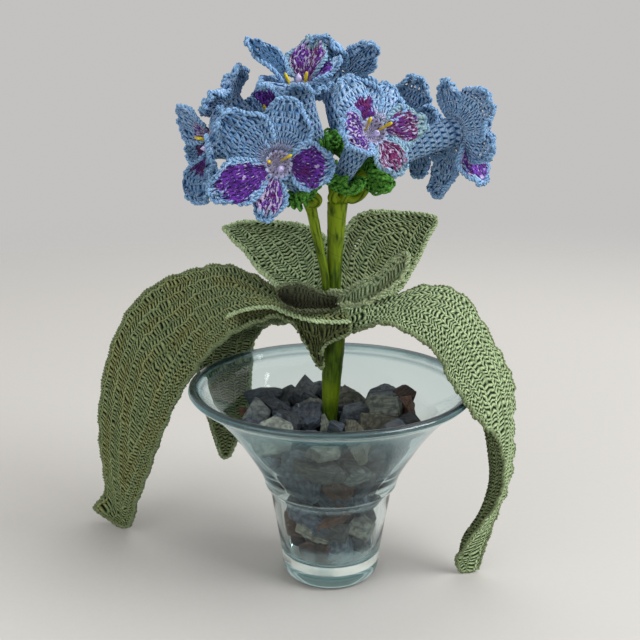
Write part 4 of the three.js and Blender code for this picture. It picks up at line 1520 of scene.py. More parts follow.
BLOOMS = (
    Bloom("front_left", (-22, -33, 201), (0.24, -0.96, 0.08), (-0.25, 0, 1), (-11, -13, 188),
          LEFT_FORK, (
        Lobe(24, 20, 13, 10, dim=0.5), Lobe(-36, 23, 12.5, 8, dim=0.6),
        Lobe(108, 16, 12, 22, dye=0.82, maroon=0.38, fleck=0.32),
        Lobe(-98, 24, 10.5, 5, dye=0.86, maroon=0.25, fleck=0.35),
        Lobe(-150, 17, 8, 4, dye=0.84, maroon=0.45, fleck=0.65))),
    Bloom("front_right", (17, -27, 214), (0.4, -0.84, 0.36), (0.1, 0.3, 0.9), (3, -11, 191),
          MIDDLE_FORK, (
        Lobe(20, 17, 10, 0), Lobe(-32, 18.5, 12.5, 0, dye=0.42, maroon=0.5, fleck=0.2),
        Lobe(70, 18.5, 9.5, 8, dye=0.72, maroon=0.6, fleck=0.5, pale=0.6, dim=0.2),
        Lobe(-116, 16, 13, 40, dye=0.85, maroon=0.1, fleck=0.6),
        Lobe(142, 14, 9, 10, dye=0.9, maroon=0.95, fleck=0.6, pale=0.5))),
    Bloom("crown", (-14.5, 0, 232), (-0.1, -0.26, 0.96), (-0.2, -1, 0), (-4, 3, 203),
          MIDDLE_FORK, (
        Lobe(40, 14, 9.5, 24), Lobe(-36, 20, 10, 18, dim=0.75),
        Lobe(96, 24, 10, 60, dim=0.9, lace=0.5),
        Lobe(-102, 15, 9, 40, dye=0.75, maroon=0.3),
        Lobe(-162, 19, 13, 58, dye=0.8, maroon=0.5, fleck=0.6, pale=0.5))),
    Bloom("crown_back", (4, 20, 232), (0.26, 0.78, 0.58), (0.1, -0.5, 1), (6, 10, 204),
          MIDDLE_FORK, (
        Lobe(26, 19, 10.5, 6, lace=0.5), Lobe(-30, 20, 8, 12),
        Lobe(104, 15, 10, 10, dye=0.8, maroon=0.4),
        Lobe(-104, 15, 10, 10, dye=0.8, maroon=0.3), Lobe(180, 14, 9, 10, dye=0.8, maroon=0.6))),
    Bloom("left_upper", (-45, 7, 222), (-0.74, 0.16, 0.6), (0.5, 0, 1), (-19, 4, 200),
          LEFT_FORK, (
        Lobe(30, 14, 8, 30, dye=0.8, maroon=0.9), Lobe(-34, 14, 9.5, 34, dye=0.5, maroon=0.8),
        Lobe(94, 14, 9.5, 30, dye=0.8, maroon=0.6), Lobe(-110, 15, 10, 15, dye=0.8, maroon=0.3),
        Lobe(178, 7, 8, -10, dye=0.7, maroon=0.4))),
    Bloom("left_lower", (-53, -3, 207), (-0.92, -0.26, 0.02), (-0.1, 0, 1), (-22, -5, 193),
          LEFT_FORK, (
        Lobe(36, 12, 8.5, -10, dim=0.3),
        Lobe(-42, 17, 12, 50, dye=0.4, maroon=0.1, fleck=0.8, dim=0.3),
        Lobe(118, 19, 13, 18, dye=0.35, maroon=0.4, dim=0.7, lace=0.6),
        Lobe(-98, 16, 9.5, 34, dye=0.4, maroon=0.6, dim=0.7),
        Lobe(176, 20, 12.5, 24, 28, dye=0.4, maroon=0.5, dim=0.6))),
    Bloom("left_back", (-26.5, 14, 216), (-0.12, -0.66, 0.74), (-1, 0, -0.28), (-12, 13, 197),
          LEFT_FORK, (
        Lobe(33, 12, 8, 20), Lobe(-33, 10, 8, 20), Lobe(96, 16, 11, 30, dye=0.7, maroon=0.2),
        Lobe(-106, 10, 8, 20, dye=0.8, maroon=0.3), Lobe(166, 14, 9, 30, dye=0.8, maroon=0.2))),
    Bloom("right", (53, 2, 211.5), (0.8, 0.58, 0.1), (0.1, 0, 1), (18, -4, 196),
          RIGHT_FORK, (
        Lobe(-52, 21, 14.5, 8, lace=1.8), Lobe(6, 16.5, 7, 0),
        Lobe(-104, 17, 11, 14, dye=0.5, maroon=0.2, lace=1.0),
        Lobe(172, 23, 8.5, -8, dye=0.7, maroon=0.4),
        Lobe(-148, 20, 9.5, 22, -78, dye=0.92, maroon=0.35, fleck=0.45))),
    Bloom("right_back", (32, 26, 214), (0.26, 0.86, 0.42), (0.1, -0.4, 1), (15, 8, 203),
          RIGHT_FORK, (
        Lobe(38, 15, 9, 8), Lobe(-12, 19, 10.5, 5, lace=1.0),
        Lobe(104, 14, 9.5, 10, dye=0.8, maroon=0.3),
        Lobe(-80, 15, 9, 10, dye=0.8, maroon=0.5), Lobe(180, 13, 9, 10, dye=0.8, maroon=0.6))),
    Bloom("right_lower", (38.5, 16, 207.5), (0.66, 0.72, 0.04), (0.1, 0.2, 1), (17, 5, 189),
          RIGHT_FORK, (
        Lobe(33, 10, 8, 15), Lobe(-33, 10, 8, 15), Lobe(106, 11, 8, 18, dye=0.8, maroon=0.4),
        Lobe(-100, 13, 9, 6, dye=0.8, maroon=0.2), Lobe(180, 10.5, 8, 10, dye=0.8, maroon=0.5))),
)


@dataclass
class BloomMaker:
    """Makes a bloom's petals, calyx, stamens and pistil.

    Points are seen from the throat: to the right, to the top and along the facing. The mouth
    is pairs of height and radius, over its edge and down inside. The cup's section is height,
    radius and frill, up its inside and down its outside. A coil has a height, a radius, a
    count of loops, their size and a start. The dye of a lobe ends at a share of its half
    width, over a soft border, and the band is where its open rows start, are open, begin to
    close and are closed.
    """

    materials: dict[Slot, Material]
    stitch_width: float = 1.8
    row_height: float = 2.6
    grid_step: float = 0.5
    ground: float = 0.1
    relief: float = 0.62
    chain_cord: float = 0.62
    chain_pitch: float = 3.8
    chain_sides: int = 5
    scallop: float = 0.75
    scallop_length: float = 3.3
    dye_share: float = 0.84
    dye_border: float = 0.42
    band: tuple[float, ...] = (0.6, 0.66, 0.86, 0.9)
    tube_rows: int = 60
    tube_sides: int = 56
    tube_stitches: int = 14
    tube_radii: tuple[float, ...] = (FOOT_RADIUS, 4.6, 5.5, 6.3)
    mouth: Pairs = (
        (-1.0, 6.55), (0.0, MOUTH_RADIUS), (0.3, 6.1), (0.0, 5.3), (-0.9, 4.9), (-1.9, 4.6),
        (-2.9, 4.2), (-3.7, 3.3), (-4.2, 1.6),
    )
    cup_rows: int = 22
    cup_sides: int = 48
    cup_stitches: int = 14
    cup: tuple[Point, ...] = (
        (-3.2, 2.6, 0.0), (0.8, 4.3, 0.1), (4.6, 8.6, 1.5), (3.4, 9.2, 1.5), (-1.0, 5.2, 0.1),
        (-3.3, 3.3, 0.0),
    )
    coils: tuple[tuple[float, float, int, float, float], ...] = (
        (4.2, 8.4, 12, 1.9, 0.0), (2.2, 8.6, 10, 1.75, 1.1), (0.2, 6.5, 8, 1.6, 2.3),
    )
    wire: tuple[Point, ...] = (
        (4.8, 2.5, 6.2), (4, 2.1, 3), (2.8, 1.4, -0.9), (1.9, 0.9, -4.9),
        (0, 0.8, 0.9 - THROAT_DEPTH),
    )
    stalk: tuple[Point, ...] = (
        (0, -1.2, 0.4 - THROAT_DEPTH), (0, -1.3, -1), (0, -1.6, 0.6), (0, -1.9, 2.6),
        (0, -2.1, 4.4),
    )

    def funnel(self, bloom: Bloom) -> Shell:
        """The stitched tube: it widens from the foot to the mouth and turns down inside.

        Circles stand square on its curve, and the stitch height is added to their radii.

        Args:
            bloom: The bloom.

        Returns:
            Its skin.
        """
        shares = np.linspace(0, 1, self.tube_rows)
        path = bloom.tube_path(shares)
        depths, mouth_radii = np.array(self.mouth).T
        zero = np.zeros(len(depths))
        centres = np.concatenate([path, bloom.placed(zero, zero, depths)])
        radii = np.interp(shares, [0, 0.35, 0.7, 1], self.tube_radii)
        reach = np.concatenate([radii, mouth_radii])
        top, facing = bloom.axes()[1:]
        tangents = np.concatenate([
            unit(np.gradient(path, axis=0)), np.broadcast_to(facing, (len(depths), 3))
        ])
        run = lengths_along(path)
        rows = np.concatenate([run, run[-1] + 1.0 + 1.4 * np.arange(len(depths))])
        uv = uv_grid(
            rows / self.row_height, np.linspace(0, self.tube_stitches, self.tube_sides + 1)
        )
        height = PETAL_STITCH.height(uv[:, :-1, 0], uv[:, :-1, 1])
        outward = np.where(np.arange(len(reach)) < len(path) + 3, 1.0, -1.0)[:, None]
        reach = reach[:, None] + outward * (self.relief * height - self.ground)
        rings = rings_along(centres, tangents, top, reach)
        inside = np.broadcast_to((outward < 0) * 1.0, rings.shape[:2])
        # Painted shade on the outside of the tube
        marks = {
            "dye": inside * 0.44, "maroon": inside * 0.2, "fleck": inside * 0.8,
            "blush": inside, "shade": (1 - inside) * 0.12,
        }
        return loft_shell(rings, uv, marks)

    def lobe(self, bloom: Bloom, lobe: Lobe, phase: float) -> list[Shell]:
        """A lobe's two stitched faces and the chain round its edge.

        Each face is the lobe's surface, moved along its normals by the stitch height.

        Args:
            bloom: The bloom.
            lobe: The lobe.
            phase: Where its waves start.

        Returns:
            The skins of the blade and of the chain.
        """
        stitches = max(int(round(2 * lobe.half_width * 0.92 / self.stitch_width)), 7)
        u = np.linspace(0, 1, max(int(lobe.reach / self.grid_step), 16))
        v = np.linspace(0, 1, stitches * 4 + 1)
        surface = bloom.lobe_surface(lobe, phase, u, v)
        places = uv_grid(u * (lobe.reach / self.row_height), v * stitches)
        uv = np.stack(uneven(*np.moveaxis(places, -1, 0), int(1000 * phase)), -1)
        u, across = u[:, None], abs(2 * v - 1)[None, :]
        inner = np.maximum(u / max(lobe.dye, 0.01), across / self.dye_share)
        heart = np.clip((1.0 - inner) / self.dye_border + 0.5, 0, 1) * (lobe.dye > 0)
        blush = ramp(1 - u, 0.7, 1.0) * np.ones_like(across)
        band = ramp(u, *self.band[:2]) * (1 - ramp(u, *self.band[2:]))
        open_part = band * (across < 0.86) * lobe.lace
        rim = np.minimum(1.0, 0.25 + 6 * np.minimum(1 - across, 1 - u))
        lift = self.ground + self.relief * (PETAL_STITCH.height(uv[..., 0], uv[..., 1]) * rim)
        # Painted shade: the inner face as far as the lobe's dim says, the outer face a little
        inside = {
            "dye": heart, "maroon": lobe.maroon, "fleck": lobe.fleck, "pale": lobe.pale,
            "blush": blush, "open": open_part, "shade": lobe.dim,
        }
        outside = {"open": open_part, "dye": heart * 0.1, "shade": 0.05}
        blade = blade_shell(surface, lift, uv, (outside, inside))
        return [blade, *self.chain(surface, lobe)]

    def chain(self, surface: Array, lobe: Lobe) -> list[Shell]:
        """The scalloped chain that goes up one side of a lobe, over its end and down again.

        The edge moves outwards by the size of a sine of the run along it.

        Args:
            surface: The lobe's surface.
            lobe: The lobe.

        Returns:
            The skins of its cords.
        """
        start = max(int(0.12 * len(surface)), 1)
        edge = [
            np.concatenate([grid[start:, 0], grid[-1, 1:-1], grid[:start:-1, -1]])
            for grid in (surface, grid_normals(surface))
        ]
        path, normals = resampled(edge[0], 0.55, edge[1])
        path = eased(path, 3)
        outward = unit(path - surface.reshape(-1, 3).mean(axis=0))
        waves = abs(np.sin(math.pi * lengths_along(path) / self.scallop_length))
        path = path + outward * (self.scallop * waves - 0.2)[:, None]
        marks = {"pale": lobe.pale * 0.5}
        return rope_shells(
            path, unit(normals), self.chain_cord, self.chain_pitch, self.chain_sides, marks
        )

    def petals(self, bloom: Bloom, index: int) -> list[Shell]:
        """The bloom's tube and its five lobes.

        Args:
            bloom: The bloom.
            index: Its number, which seeds the lobes' waves.

        Returns:
            Their skins.
        """
        shells = [self.funnel(bloom)]
        state = BLOOM_SEED + 31 * index
        for lobe in bloom.lobes:
            state = state * DRAW_FACTOR % DRAW_MODULUS
            shells += self.lobe(bloom, lobe, 2 * math.pi * state / DRAW_MODULUS)
        return shells

    def curls(self, bloom: Bloom, index: int) -> list[Shell]:
        """The calyx: a stitched cup with coils of curly cord round its rim and its outside.

        The cup is turned round the tube, and its height waves by the frill times two sines of
        the turn. A coil is a small circle whose middle goes once round on such a wave.

        Args:
            bloom: The bloom.
            index: Its number, which shifts the waves.

        Returns:
            The skins of the cup and of the coils.
        """
        direction = bloom.leaving(0.02)
        side = unit(np.cross(np.array([0.2, 0.9, 0.4]), direction))
        up = np.cross(direction, side)
        foot = np.array(bloom.foot, float)
        phase = index * 1.7
        section = smooth_curve(np.array(self.cup), np.linspace(0, 1, self.cup_rows))
        angles = circle(self.cup_sides)
        frill = np.sin(4 * angles + phase) + 0.5 * np.sin(7 * angles)
        heights = section[:, :1] + section[:, 2:] * frill
        run = lengths_along(section[:, :2])
        uv = uv_grid(run / 2.2, np.linspace(0, self.cup_stitches, self.cup_sides + 1))
        lumps = 0.35 * LEAF_STITCH.height(uv[:, :-1, 0], uv[:, :-1, 1])
        outward = np.where(np.arange(self.cup_rows) < self.cup_rows // 2, -1.0, 1.0)
        radii = section[:, 1:2] + outward[:, None] * lumps
        rings = foot + heights[..., None] * direction + radii[..., None] * spokes(side, up, angles)
        shells = [loft_shell(rings[::-1], uv[::-1])]
        for level, wide, loops, curl, start in self.coils:
            turn = np.linspace(0, 2 * math.pi, loops * 16) + start
            wave = np.sin(4 * turn + phase) + 0.5 * np.sin(7 * turn)
            swing = loops * turn + 0.9 * np.sin(3 * turn + phase)
            size = curl * (0.8 + 0.3 * np.sin(5 * turn + 2 * phase))
            out = wide + size * np.cos(swing)
            rise = level + 1.3 * wave + size * np.sin(swing)
            radial = spokes(side, up, turn)
            path = foot + out[:, None] * radial + rise[:, None] * direction
            knotted = abs(np.sin(math.pi * lengths_along(path) / 1.7))
            # The knots take a painted highlight and the necks between them painted shade
            marks = {"chain": 0.25 + 0.7 * knotted}
            shells.append(tube_shell(path, 0.5 + 0.28 * knotted, radial, 6, CORD_UV, marks))
        return shells

    def stamens(self, bloom: Bloom) -> Shell:
        """The bent yellow wire whose two thick tips look out of the throat.

        A smooth curve goes through its points and back through their mirror images. Its
        radius swells as a bell curve near each end.

        Args:
            bloom: The bloom.

        Returns:
            Its skin.
        """
        other = [(-x, y, z) for x, y, z in self.wire[-2::-1]]
        shares = np.linspace(0, 1, 60)
        local = smooth_curve(np.array([*self.wire, *other], float), shares)
        tip = np.minimum(shares, 1 - shares) * 2
        radii = 0.4 + 0.38 * np.exp(-(((tip - 0.17) / 0.15) ** 2))
        radii = radii * np.minimum(1, 0.35 + tip / 0.06)
        return tube_shell(bloom.placed(*local.T), radii, bloom.axes()[1], 12)

    def bead(self, bloom: Bloom) -> Shell:
        """The pistil's stalk and its long bead.

        A smooth curve whose radius swells as a bell curve and rounds off at its end.

        Args:
            bloom: The bloom.

        Returns:
            Their one skin.
        """
        shares = np.linspace(0, 1, 36)
        radii = 0.45 + 0.95 * np.exp(-(((shares - 0.7) / 0.2) ** 2))
        radii = radii * np.sqrt(np.clip((1 - shares) / 0.16, 0.02, 1))
        local = smooth_curve(np.array(self.stalk, float), shares)
        return tube_shell(bloom.placed(*local.T), radii, bloom.axes()[0], 14)

    def build(self, blooms: tuple[Bloom, ...]) -> None:
        """Makes every bloom's four pieces."""
        for index, bloom in enumerate(blooms):
            for name, node, slot, shells in (
                ("petals", "bloom", Slot.PETAL, self.petals(bloom, index)),
                ("curls", "calyx", Slot.CALYX, self.curls(bloom, index)),
                ("wire", "stamens", Slot.STAMEN, [self.stamens(bloom)]),
                ("bead", "pistil", Slot.PISTIL, [self.bead(bloom)]),
            ):
                names = f"{name}_{bloom.name}", f"{node}_{bloom.name}"
                Piece(*names, slot, self.materials[slot]).make(*shells)


# Stems


@dataclass
class Stems:
    """Two wired stems and a pedicel to each bloom, wound with green tape."""

    main: tuple = ((-1, 0, 12), (-0.8, 0, 50), (-0.5, 0, 80), (0.2, 0, 98), (1.2, 0, 117),
                   (1, 0, 128), (0.8, 0, 138), (1.6, 0, 160), (2.6, 0, 181))
    main_radii: tuple = (3.4, 3.5, 3.6, 4.5, 5.2, 4.9, 3.3, 3.5, 4.6)
    second: tuple = ((-1.6, -1.6, 124), (-2.4, -3.2, 141), (-3.4, -4.2, 152),
                     (-5.2, -4.4, 160), (-7.2, -4.2, 170), (-9, -3.8, 179))
    second_radii: tuple = (2.2, 1.8, 1.9, 2.0, 2.3, 2.4)
    pedicel_radii: tuple = (2.3, 2.2, 2.0, PEDICEL_RADIUS, PEDICEL_RADIUS)
    wrap_pitch: float = 8.5
    step: float = 0.14
    ring_gap: float = 0.7
    sides: int = 28
    hint: Point = (0.31, 0.95, 0.11)

    def wound(self, knots: Array, radii: tuple) -> Shell:
        """One taped cord: the tape's edge is a small step that climbs round it.

        The radius grows by a step as the sum of the turn and the run goes through one wrap.

        Args:
            knots: The points that its middle runs through.
            radii: Its radii at even steps.

        Returns:
            Its skin.
        """
        share = np.linspace(0, 1, 400)
        path, share = resampled(smooth_curve(knots, share), self.ring_gap, share[:, None])
        radius = np.interp(share[:, 0], np.linspace(0, 1, len(radii)), radii)
        run = lengths_along(path) / self.wrap_pitch
        wrap = (run[:, None] + (np.arange(self.sides) / self.sides)[None, :]) % 1.0
        reach = radius[:, None] + self.step * (wrap - 0.5)
        return tube_shell(path, reach, np.array(self.hint), self.sides, (1.0, self.wrap_pitch))

    def pedicel(self, bloom: Bloom) -> Array:
        """The knots of a pedicel: up out of its fork, then in line with the bloom's tube.

        Args:
            bloom: The bloom at its end.

        Returns:
            The knots.
        """
        foot, fork = np.array(bloom.foot, float), np.array(bloom.fork, float)
        direction = bloom.leaving(0.001)
        before, end = foot - 7 * direction, foot - FIT_GAP * direction
        first = fork + (foot - fork) * np.array([0.18, 0.18, 0.32])
        return np.array([fork, first, fork + 0.62 * (before - fork), before, end])

    def build(self, blooms: tuple[Bloom, ...], material: Material) -> None:
        """Winds the two stems and all the pedicels.

        Args:
            blooms: All the blooms.
            material: The tape.
        """
        shells = [
            self.wound(np.array(self.main, float), self.main_radii),
            self.wound(np.array(self.second, float), self.second_radii),
        ]
        shells += [self.wound(self.pedicel(bloom), self.pedicel_radii) for bloom in blooms]
        Piece("taped_stems", "wrapped_stems", Slot.STEM, material).make(*shells)


# Leaves


@dataclass(frozen=True)
class Leaf:
    """A crocheted strap leaf: rows of knots from its near edge to its far edge.

    Attributes:
        name: The node that it stands for.
        slot: The material slot.
        ripple: How far its edges wave.
        waves: How many waves there are along it.
        stations: The rows of knots.
        shades: How far painted shade darkens each of its two faces, the one along the grid's
            normals first.
        fold: How far along, as a share, its near third hangs as a flap below a braided fold; the
            flap gets painted shade.
        gaps: Places along and across, and sizes, where the stitches part.
        plain: How little of the yarn's second dye it has.
    """

    name: str
    slot: Slot
    ripple: float
    waves: float
    stations: tuple
    shades: tuple[float, float] = (0.2, 0.2)
    fold: float = 0.0
    gaps: tuple[Point, ...] = ()
    plain: float = 0.5


LEAVES = (
    Leaf("leaf_left", Slot.LEAF, 0.8, 5, (
        ((8, -7.5, 122.5), (8, -7.2, 128.6), (6.5, -5, 131), (5.5, -2, 132.5)),
        ((0, -9, 119.5), (-0.5, -10.3, 129.3), (-1, -8.2, 131.5), (-1, -6, 133)),
        ((-4.4, -9.2, 116.5), (-4, -10.7, 129.7), (-5, -6.6, 131.5), (-4.6, -1.7, 133.2)),
        ((-4.5, -8.3, 106), (-7, -11, 130), (-9, -5, 131.5), (-8.5, 2.5, 133.5)),
        ((-8.5, -8.8, 112), (-12, -11.4, 131), (-14, -2, 131.5), (-14, 9, 134.5)),
        ((-14, -9.5, 124), (-18, -11.2, 132.6), (-20, 2, 132), (-22, 17, 136)),
        ((-24, -10.8, 131.5), (-26.5, -7, 134.6), (-32, 10, 135), (-38, 30, 140.5)),
        ((-40.5, -5.2, 125.5), (-43, 1.5, 130.4), (-49, 19, 136.4), (-55, 40, 144)),
        ((-52.5, 7.5, 113.5), (-56, 14, 119.5), (-64, 30, 130.5), (-70, 46, 140.5)),
        ((-65.5, 21.5, 98), (-69.5, 26.5, 103.5), (-79.5, 38, 117), (-88, 50, 132)),
        ((-77.5, 24, 79.5), (-82.5, 29, 85.5), (-94, 41, 100.5), (-103.5, 52, 118)),
        ((-85, 26, 61), (-90.5, 31, 65.5), (-103, 43, 77.5), (-115.5, 53, 95)),
        ((-93, 28.5, 41), (-98, 33.5, 44), (-110, 44.5, 52), (-121.5, 53, 66)),
        ((-101.5, 32.5, 21), (-105, 36.5, 22.5), (-113.5, 45, 28), (-123, 53, 40)),
        ((-107, 38, 3.4), (-109.5, 40.5, 3.6), (-115, 46, 5.6), (-122.5, 52, 15)),
        ((-113, 42, 1.1), (-115, 43.8, 1.4), (-120, 47.4, 2.6), (-128.5, 50, 7.4)),
    ), (0.8, 0.18), 0.31, ((0.36, 0.1, 0.06), (0.34, 0.93, 0.03), (0.45, 0.95, 0.03)), 0.0),
    Leaf("leaf_right", Slot.LEAF, 0.7, 5, (
        ((0.5, -7.4, 133.4), (0.5, -7, 134.4), (0.7, -6.7, 135.4), (1, -6.2, 136.4)),
        ((8.5, -4.5, 123), (8.6, -3.8, 126), (8.5, -2.8, 130), (8, -1.5, 135)),
        ((15, -9, 126.4), (15, -6, 128.2), (14.8, -1, 131), (13.5, 5, 134)),
        ((22, -12, 128.8), (22.5, -6, 130), (23, 3, 131.4), (23.5, 14, 133)),
        ((35, -17, 125.4), (38, -10, 130.5), (42.5, 4, 134.3), (46.5, 23, 137)),
        ((46.5, -23, 118.6), (50, -15, 124.5), (57, 0, 129.8), (63, 20, 133)),
        ((52.5, -29.5, 106), (58, -21, 111), (68, -6, 114.4), (77, 13, 114)),
        ((58, -34, 99.4), (64, -26.5, 101.5), (75, -11, 101.8), (83.5, 8, 100)),
        ((64.5, -37, 91.6), (66, -34, 90.4), (78.5, -15, 91), (86.5, 4, 90)),
        ((73, -35, 80), (68.5, -36, 78), (80, -18, 76), (87, 2, 74)),
        ((77, -26.5, 61), (71.5, -28.5, 60), (80.5, -15, 59.5), (86.5, 0.5, 58)),
        ((74.5, -18.5, 41), (69, -20.5, 40), (77.5, -11, 40), (84, -1.5, 40.5)),
        ((65.5, -12.6, 22), (63, -12, 21.5), (71, -8.5, 22.5), (78, -4, 25)),
        ((61.4, -8, 8.5), (63, -7.6, 8.8), (68, -6.6, 10), (73.8, -5, 12.6)),
        ((63.6, -5.6, 1.1), (65, -5.3, 1), (68.5, -4.8, 1.1), (72.2, -4, 2.2)),
    ), (0.0, 0.8), plain=0.9),
    Leaf("leaf_back_low", Slot.LEAF, 0.7, 4, (
        ((3.2, 3.6, 119.4), (-0.6, 3.6, 120), (-2.6, 1.4, 120.6)),
        ((-1.6, 10.4, 121.6), (-6.4, 9, 122), (-9, 5.2, 122)),
        ((-8, 18, 124), (-14, 14, 124.4), (-19, 8, 124)),
        ((-21, 34, 122.5), (-29, 28, 122), (-35, 20, 119.5)),
        ((-33, 49, 112.5), (-44, 42, 113), (-51, 34, 112)),
        ((-41, 60, 98), (-54, 54, 101), (-64, 47, 104)),
        ((-44, 66, 80), (-58, 62, 82), (-69, 54, 86)),
        ((-46, 69, 60), (-58, 66.5, 60), (-67, 60, 63)),
        ((-51, 70, 42), (-58, 68, 41), (-63, 65, 43)),
        ((-56, 69, 30), (-58, 68.5, 29), (-60, 68, 30)),
    ), (0.0, 0.45), 0.0, ((0.3, 0.5, 0.2),)),
    Leaf("leaf_back_left", Slot.LEAF, 0.9, 4, (
        ((-2.2, 0.8, 136.6), (-1, 2.6, 137.2), (0.8, 2.8, 139.4)),
        ((-10.5, 3.6, 138.2), (-6.4, 6.4, 138.6), (-1, 7, 142)),
        ((-22.5, 10, 139.2), (-12, 13, 141.5), (-0.6, 14, 151)),
        ((-31.5, 19.5, 144.2), (-18, 25, 148.4), (-1.5, 24, 159)),
        ((-40.5, 29.5, 152.2), (-26, 36, 156.8), (-11, 34, 164.2)),
        ((-48.2, 36, 159.2), (-38, 40.5, 161.8), (-27, 40, 165.6)),
        ((-53, 40, 163), (-49, 42.5, 163.8), (-44, 42, 165.7)),
    ), (0.0, 0.0), 0.0, ((0.4, 0.85, 0.1), (0.55, 0.6, 0.06)), 0.8),
    Leaf("leaf_back_right", Slot.LEAF, 0.9, 4, (
        ((3.4, 1, 134.4), (2.8, 2.6, 136.6), (1.4, 2.8, 140)),
        ((9.4, 2.8, 134.8), (7.2, 6, 138), (2.6, 7, 144)),
        ((19.5, 6, 135), (13, 13, 141), (3.4, 14.4, 151.2)),
        ((31.5, 14, 138.4), (21, 23.5, 147.6), (6.4, 24, 161.8)),
        ((39.5, 24, 146.8), (29, 34, 156.4), (14, 34, 170)),
        ((44.6, 32, 154.8), (38, 40, 163), (28, 41.4, 170.6)),
        ((49, 38, 161.4), (46.4, 42, 166), (42.5, 43, 169.4)),
        ((52.4, 41.5, 166.2), (52, 42, 167), (51, 42.6, 168.4)),
    ), (0.4, 0.4), 0.0, ((0.32, 0.85, 0.1), (0.46, 0.8, 0.09), (0.7, 0.2, 0.05)), 0.6),
    Leaf("leaf_small_left", Slot.YOUNG_LEAF, 0.4, 2, (
        ((3, -8.6, 134.6), (3, -8.8, 137.4), (3, -8.6, 140.6)),
        ((-3, -9.2, 134.2), (-3.6, -9.4, 137.4), (-4, -8.4, 141.4)),
        ((-9.6, -15.5, 135.6), (-9.4, -15, 140.2), (-8.8, -9.6, 143.8)),
        ((-15.8, -19.2, 137), (-15.6, -20, 142), (-14, -13, 146.4)),
        ((-21.4, -19, 140), (-21.6, -19.6, 143.4), (-20.4, -15.6, 146.8)),
        ((-23.4, -18, 143.4), (-23.6, -18, 144.8), (-23, -16.8, 146.2)),
    ), (0.2, 0.95)),
    Leaf("leaf_small_right", Slot.YOUNG_LEAF, 0.4, 2, (
        ((-1, -6.2, 137), (-1, -6.3, 139.4), (-1, -6, 142)),
        ((4.6, -9, 136.6), (6, -6, 136.6), (6.4, -3.4, 141)),
        ((14.6, -18, 139.5), (14, -13, 136.8), (13.5, -6, 146)),
        ((22.4, -18.6, 143.4), (22, -13.5, 142), (20.6, -8, 149)),
        ((30, -17, 150), (29.8, -13.6, 150), (27.4, -9.6, 156.6)),
        ((33.8, -13.4, 158.6), (33.6, -12.4, 158.8), (32.6, -11.4, 160.4)),
    ), (0.0, 0.1)),
)


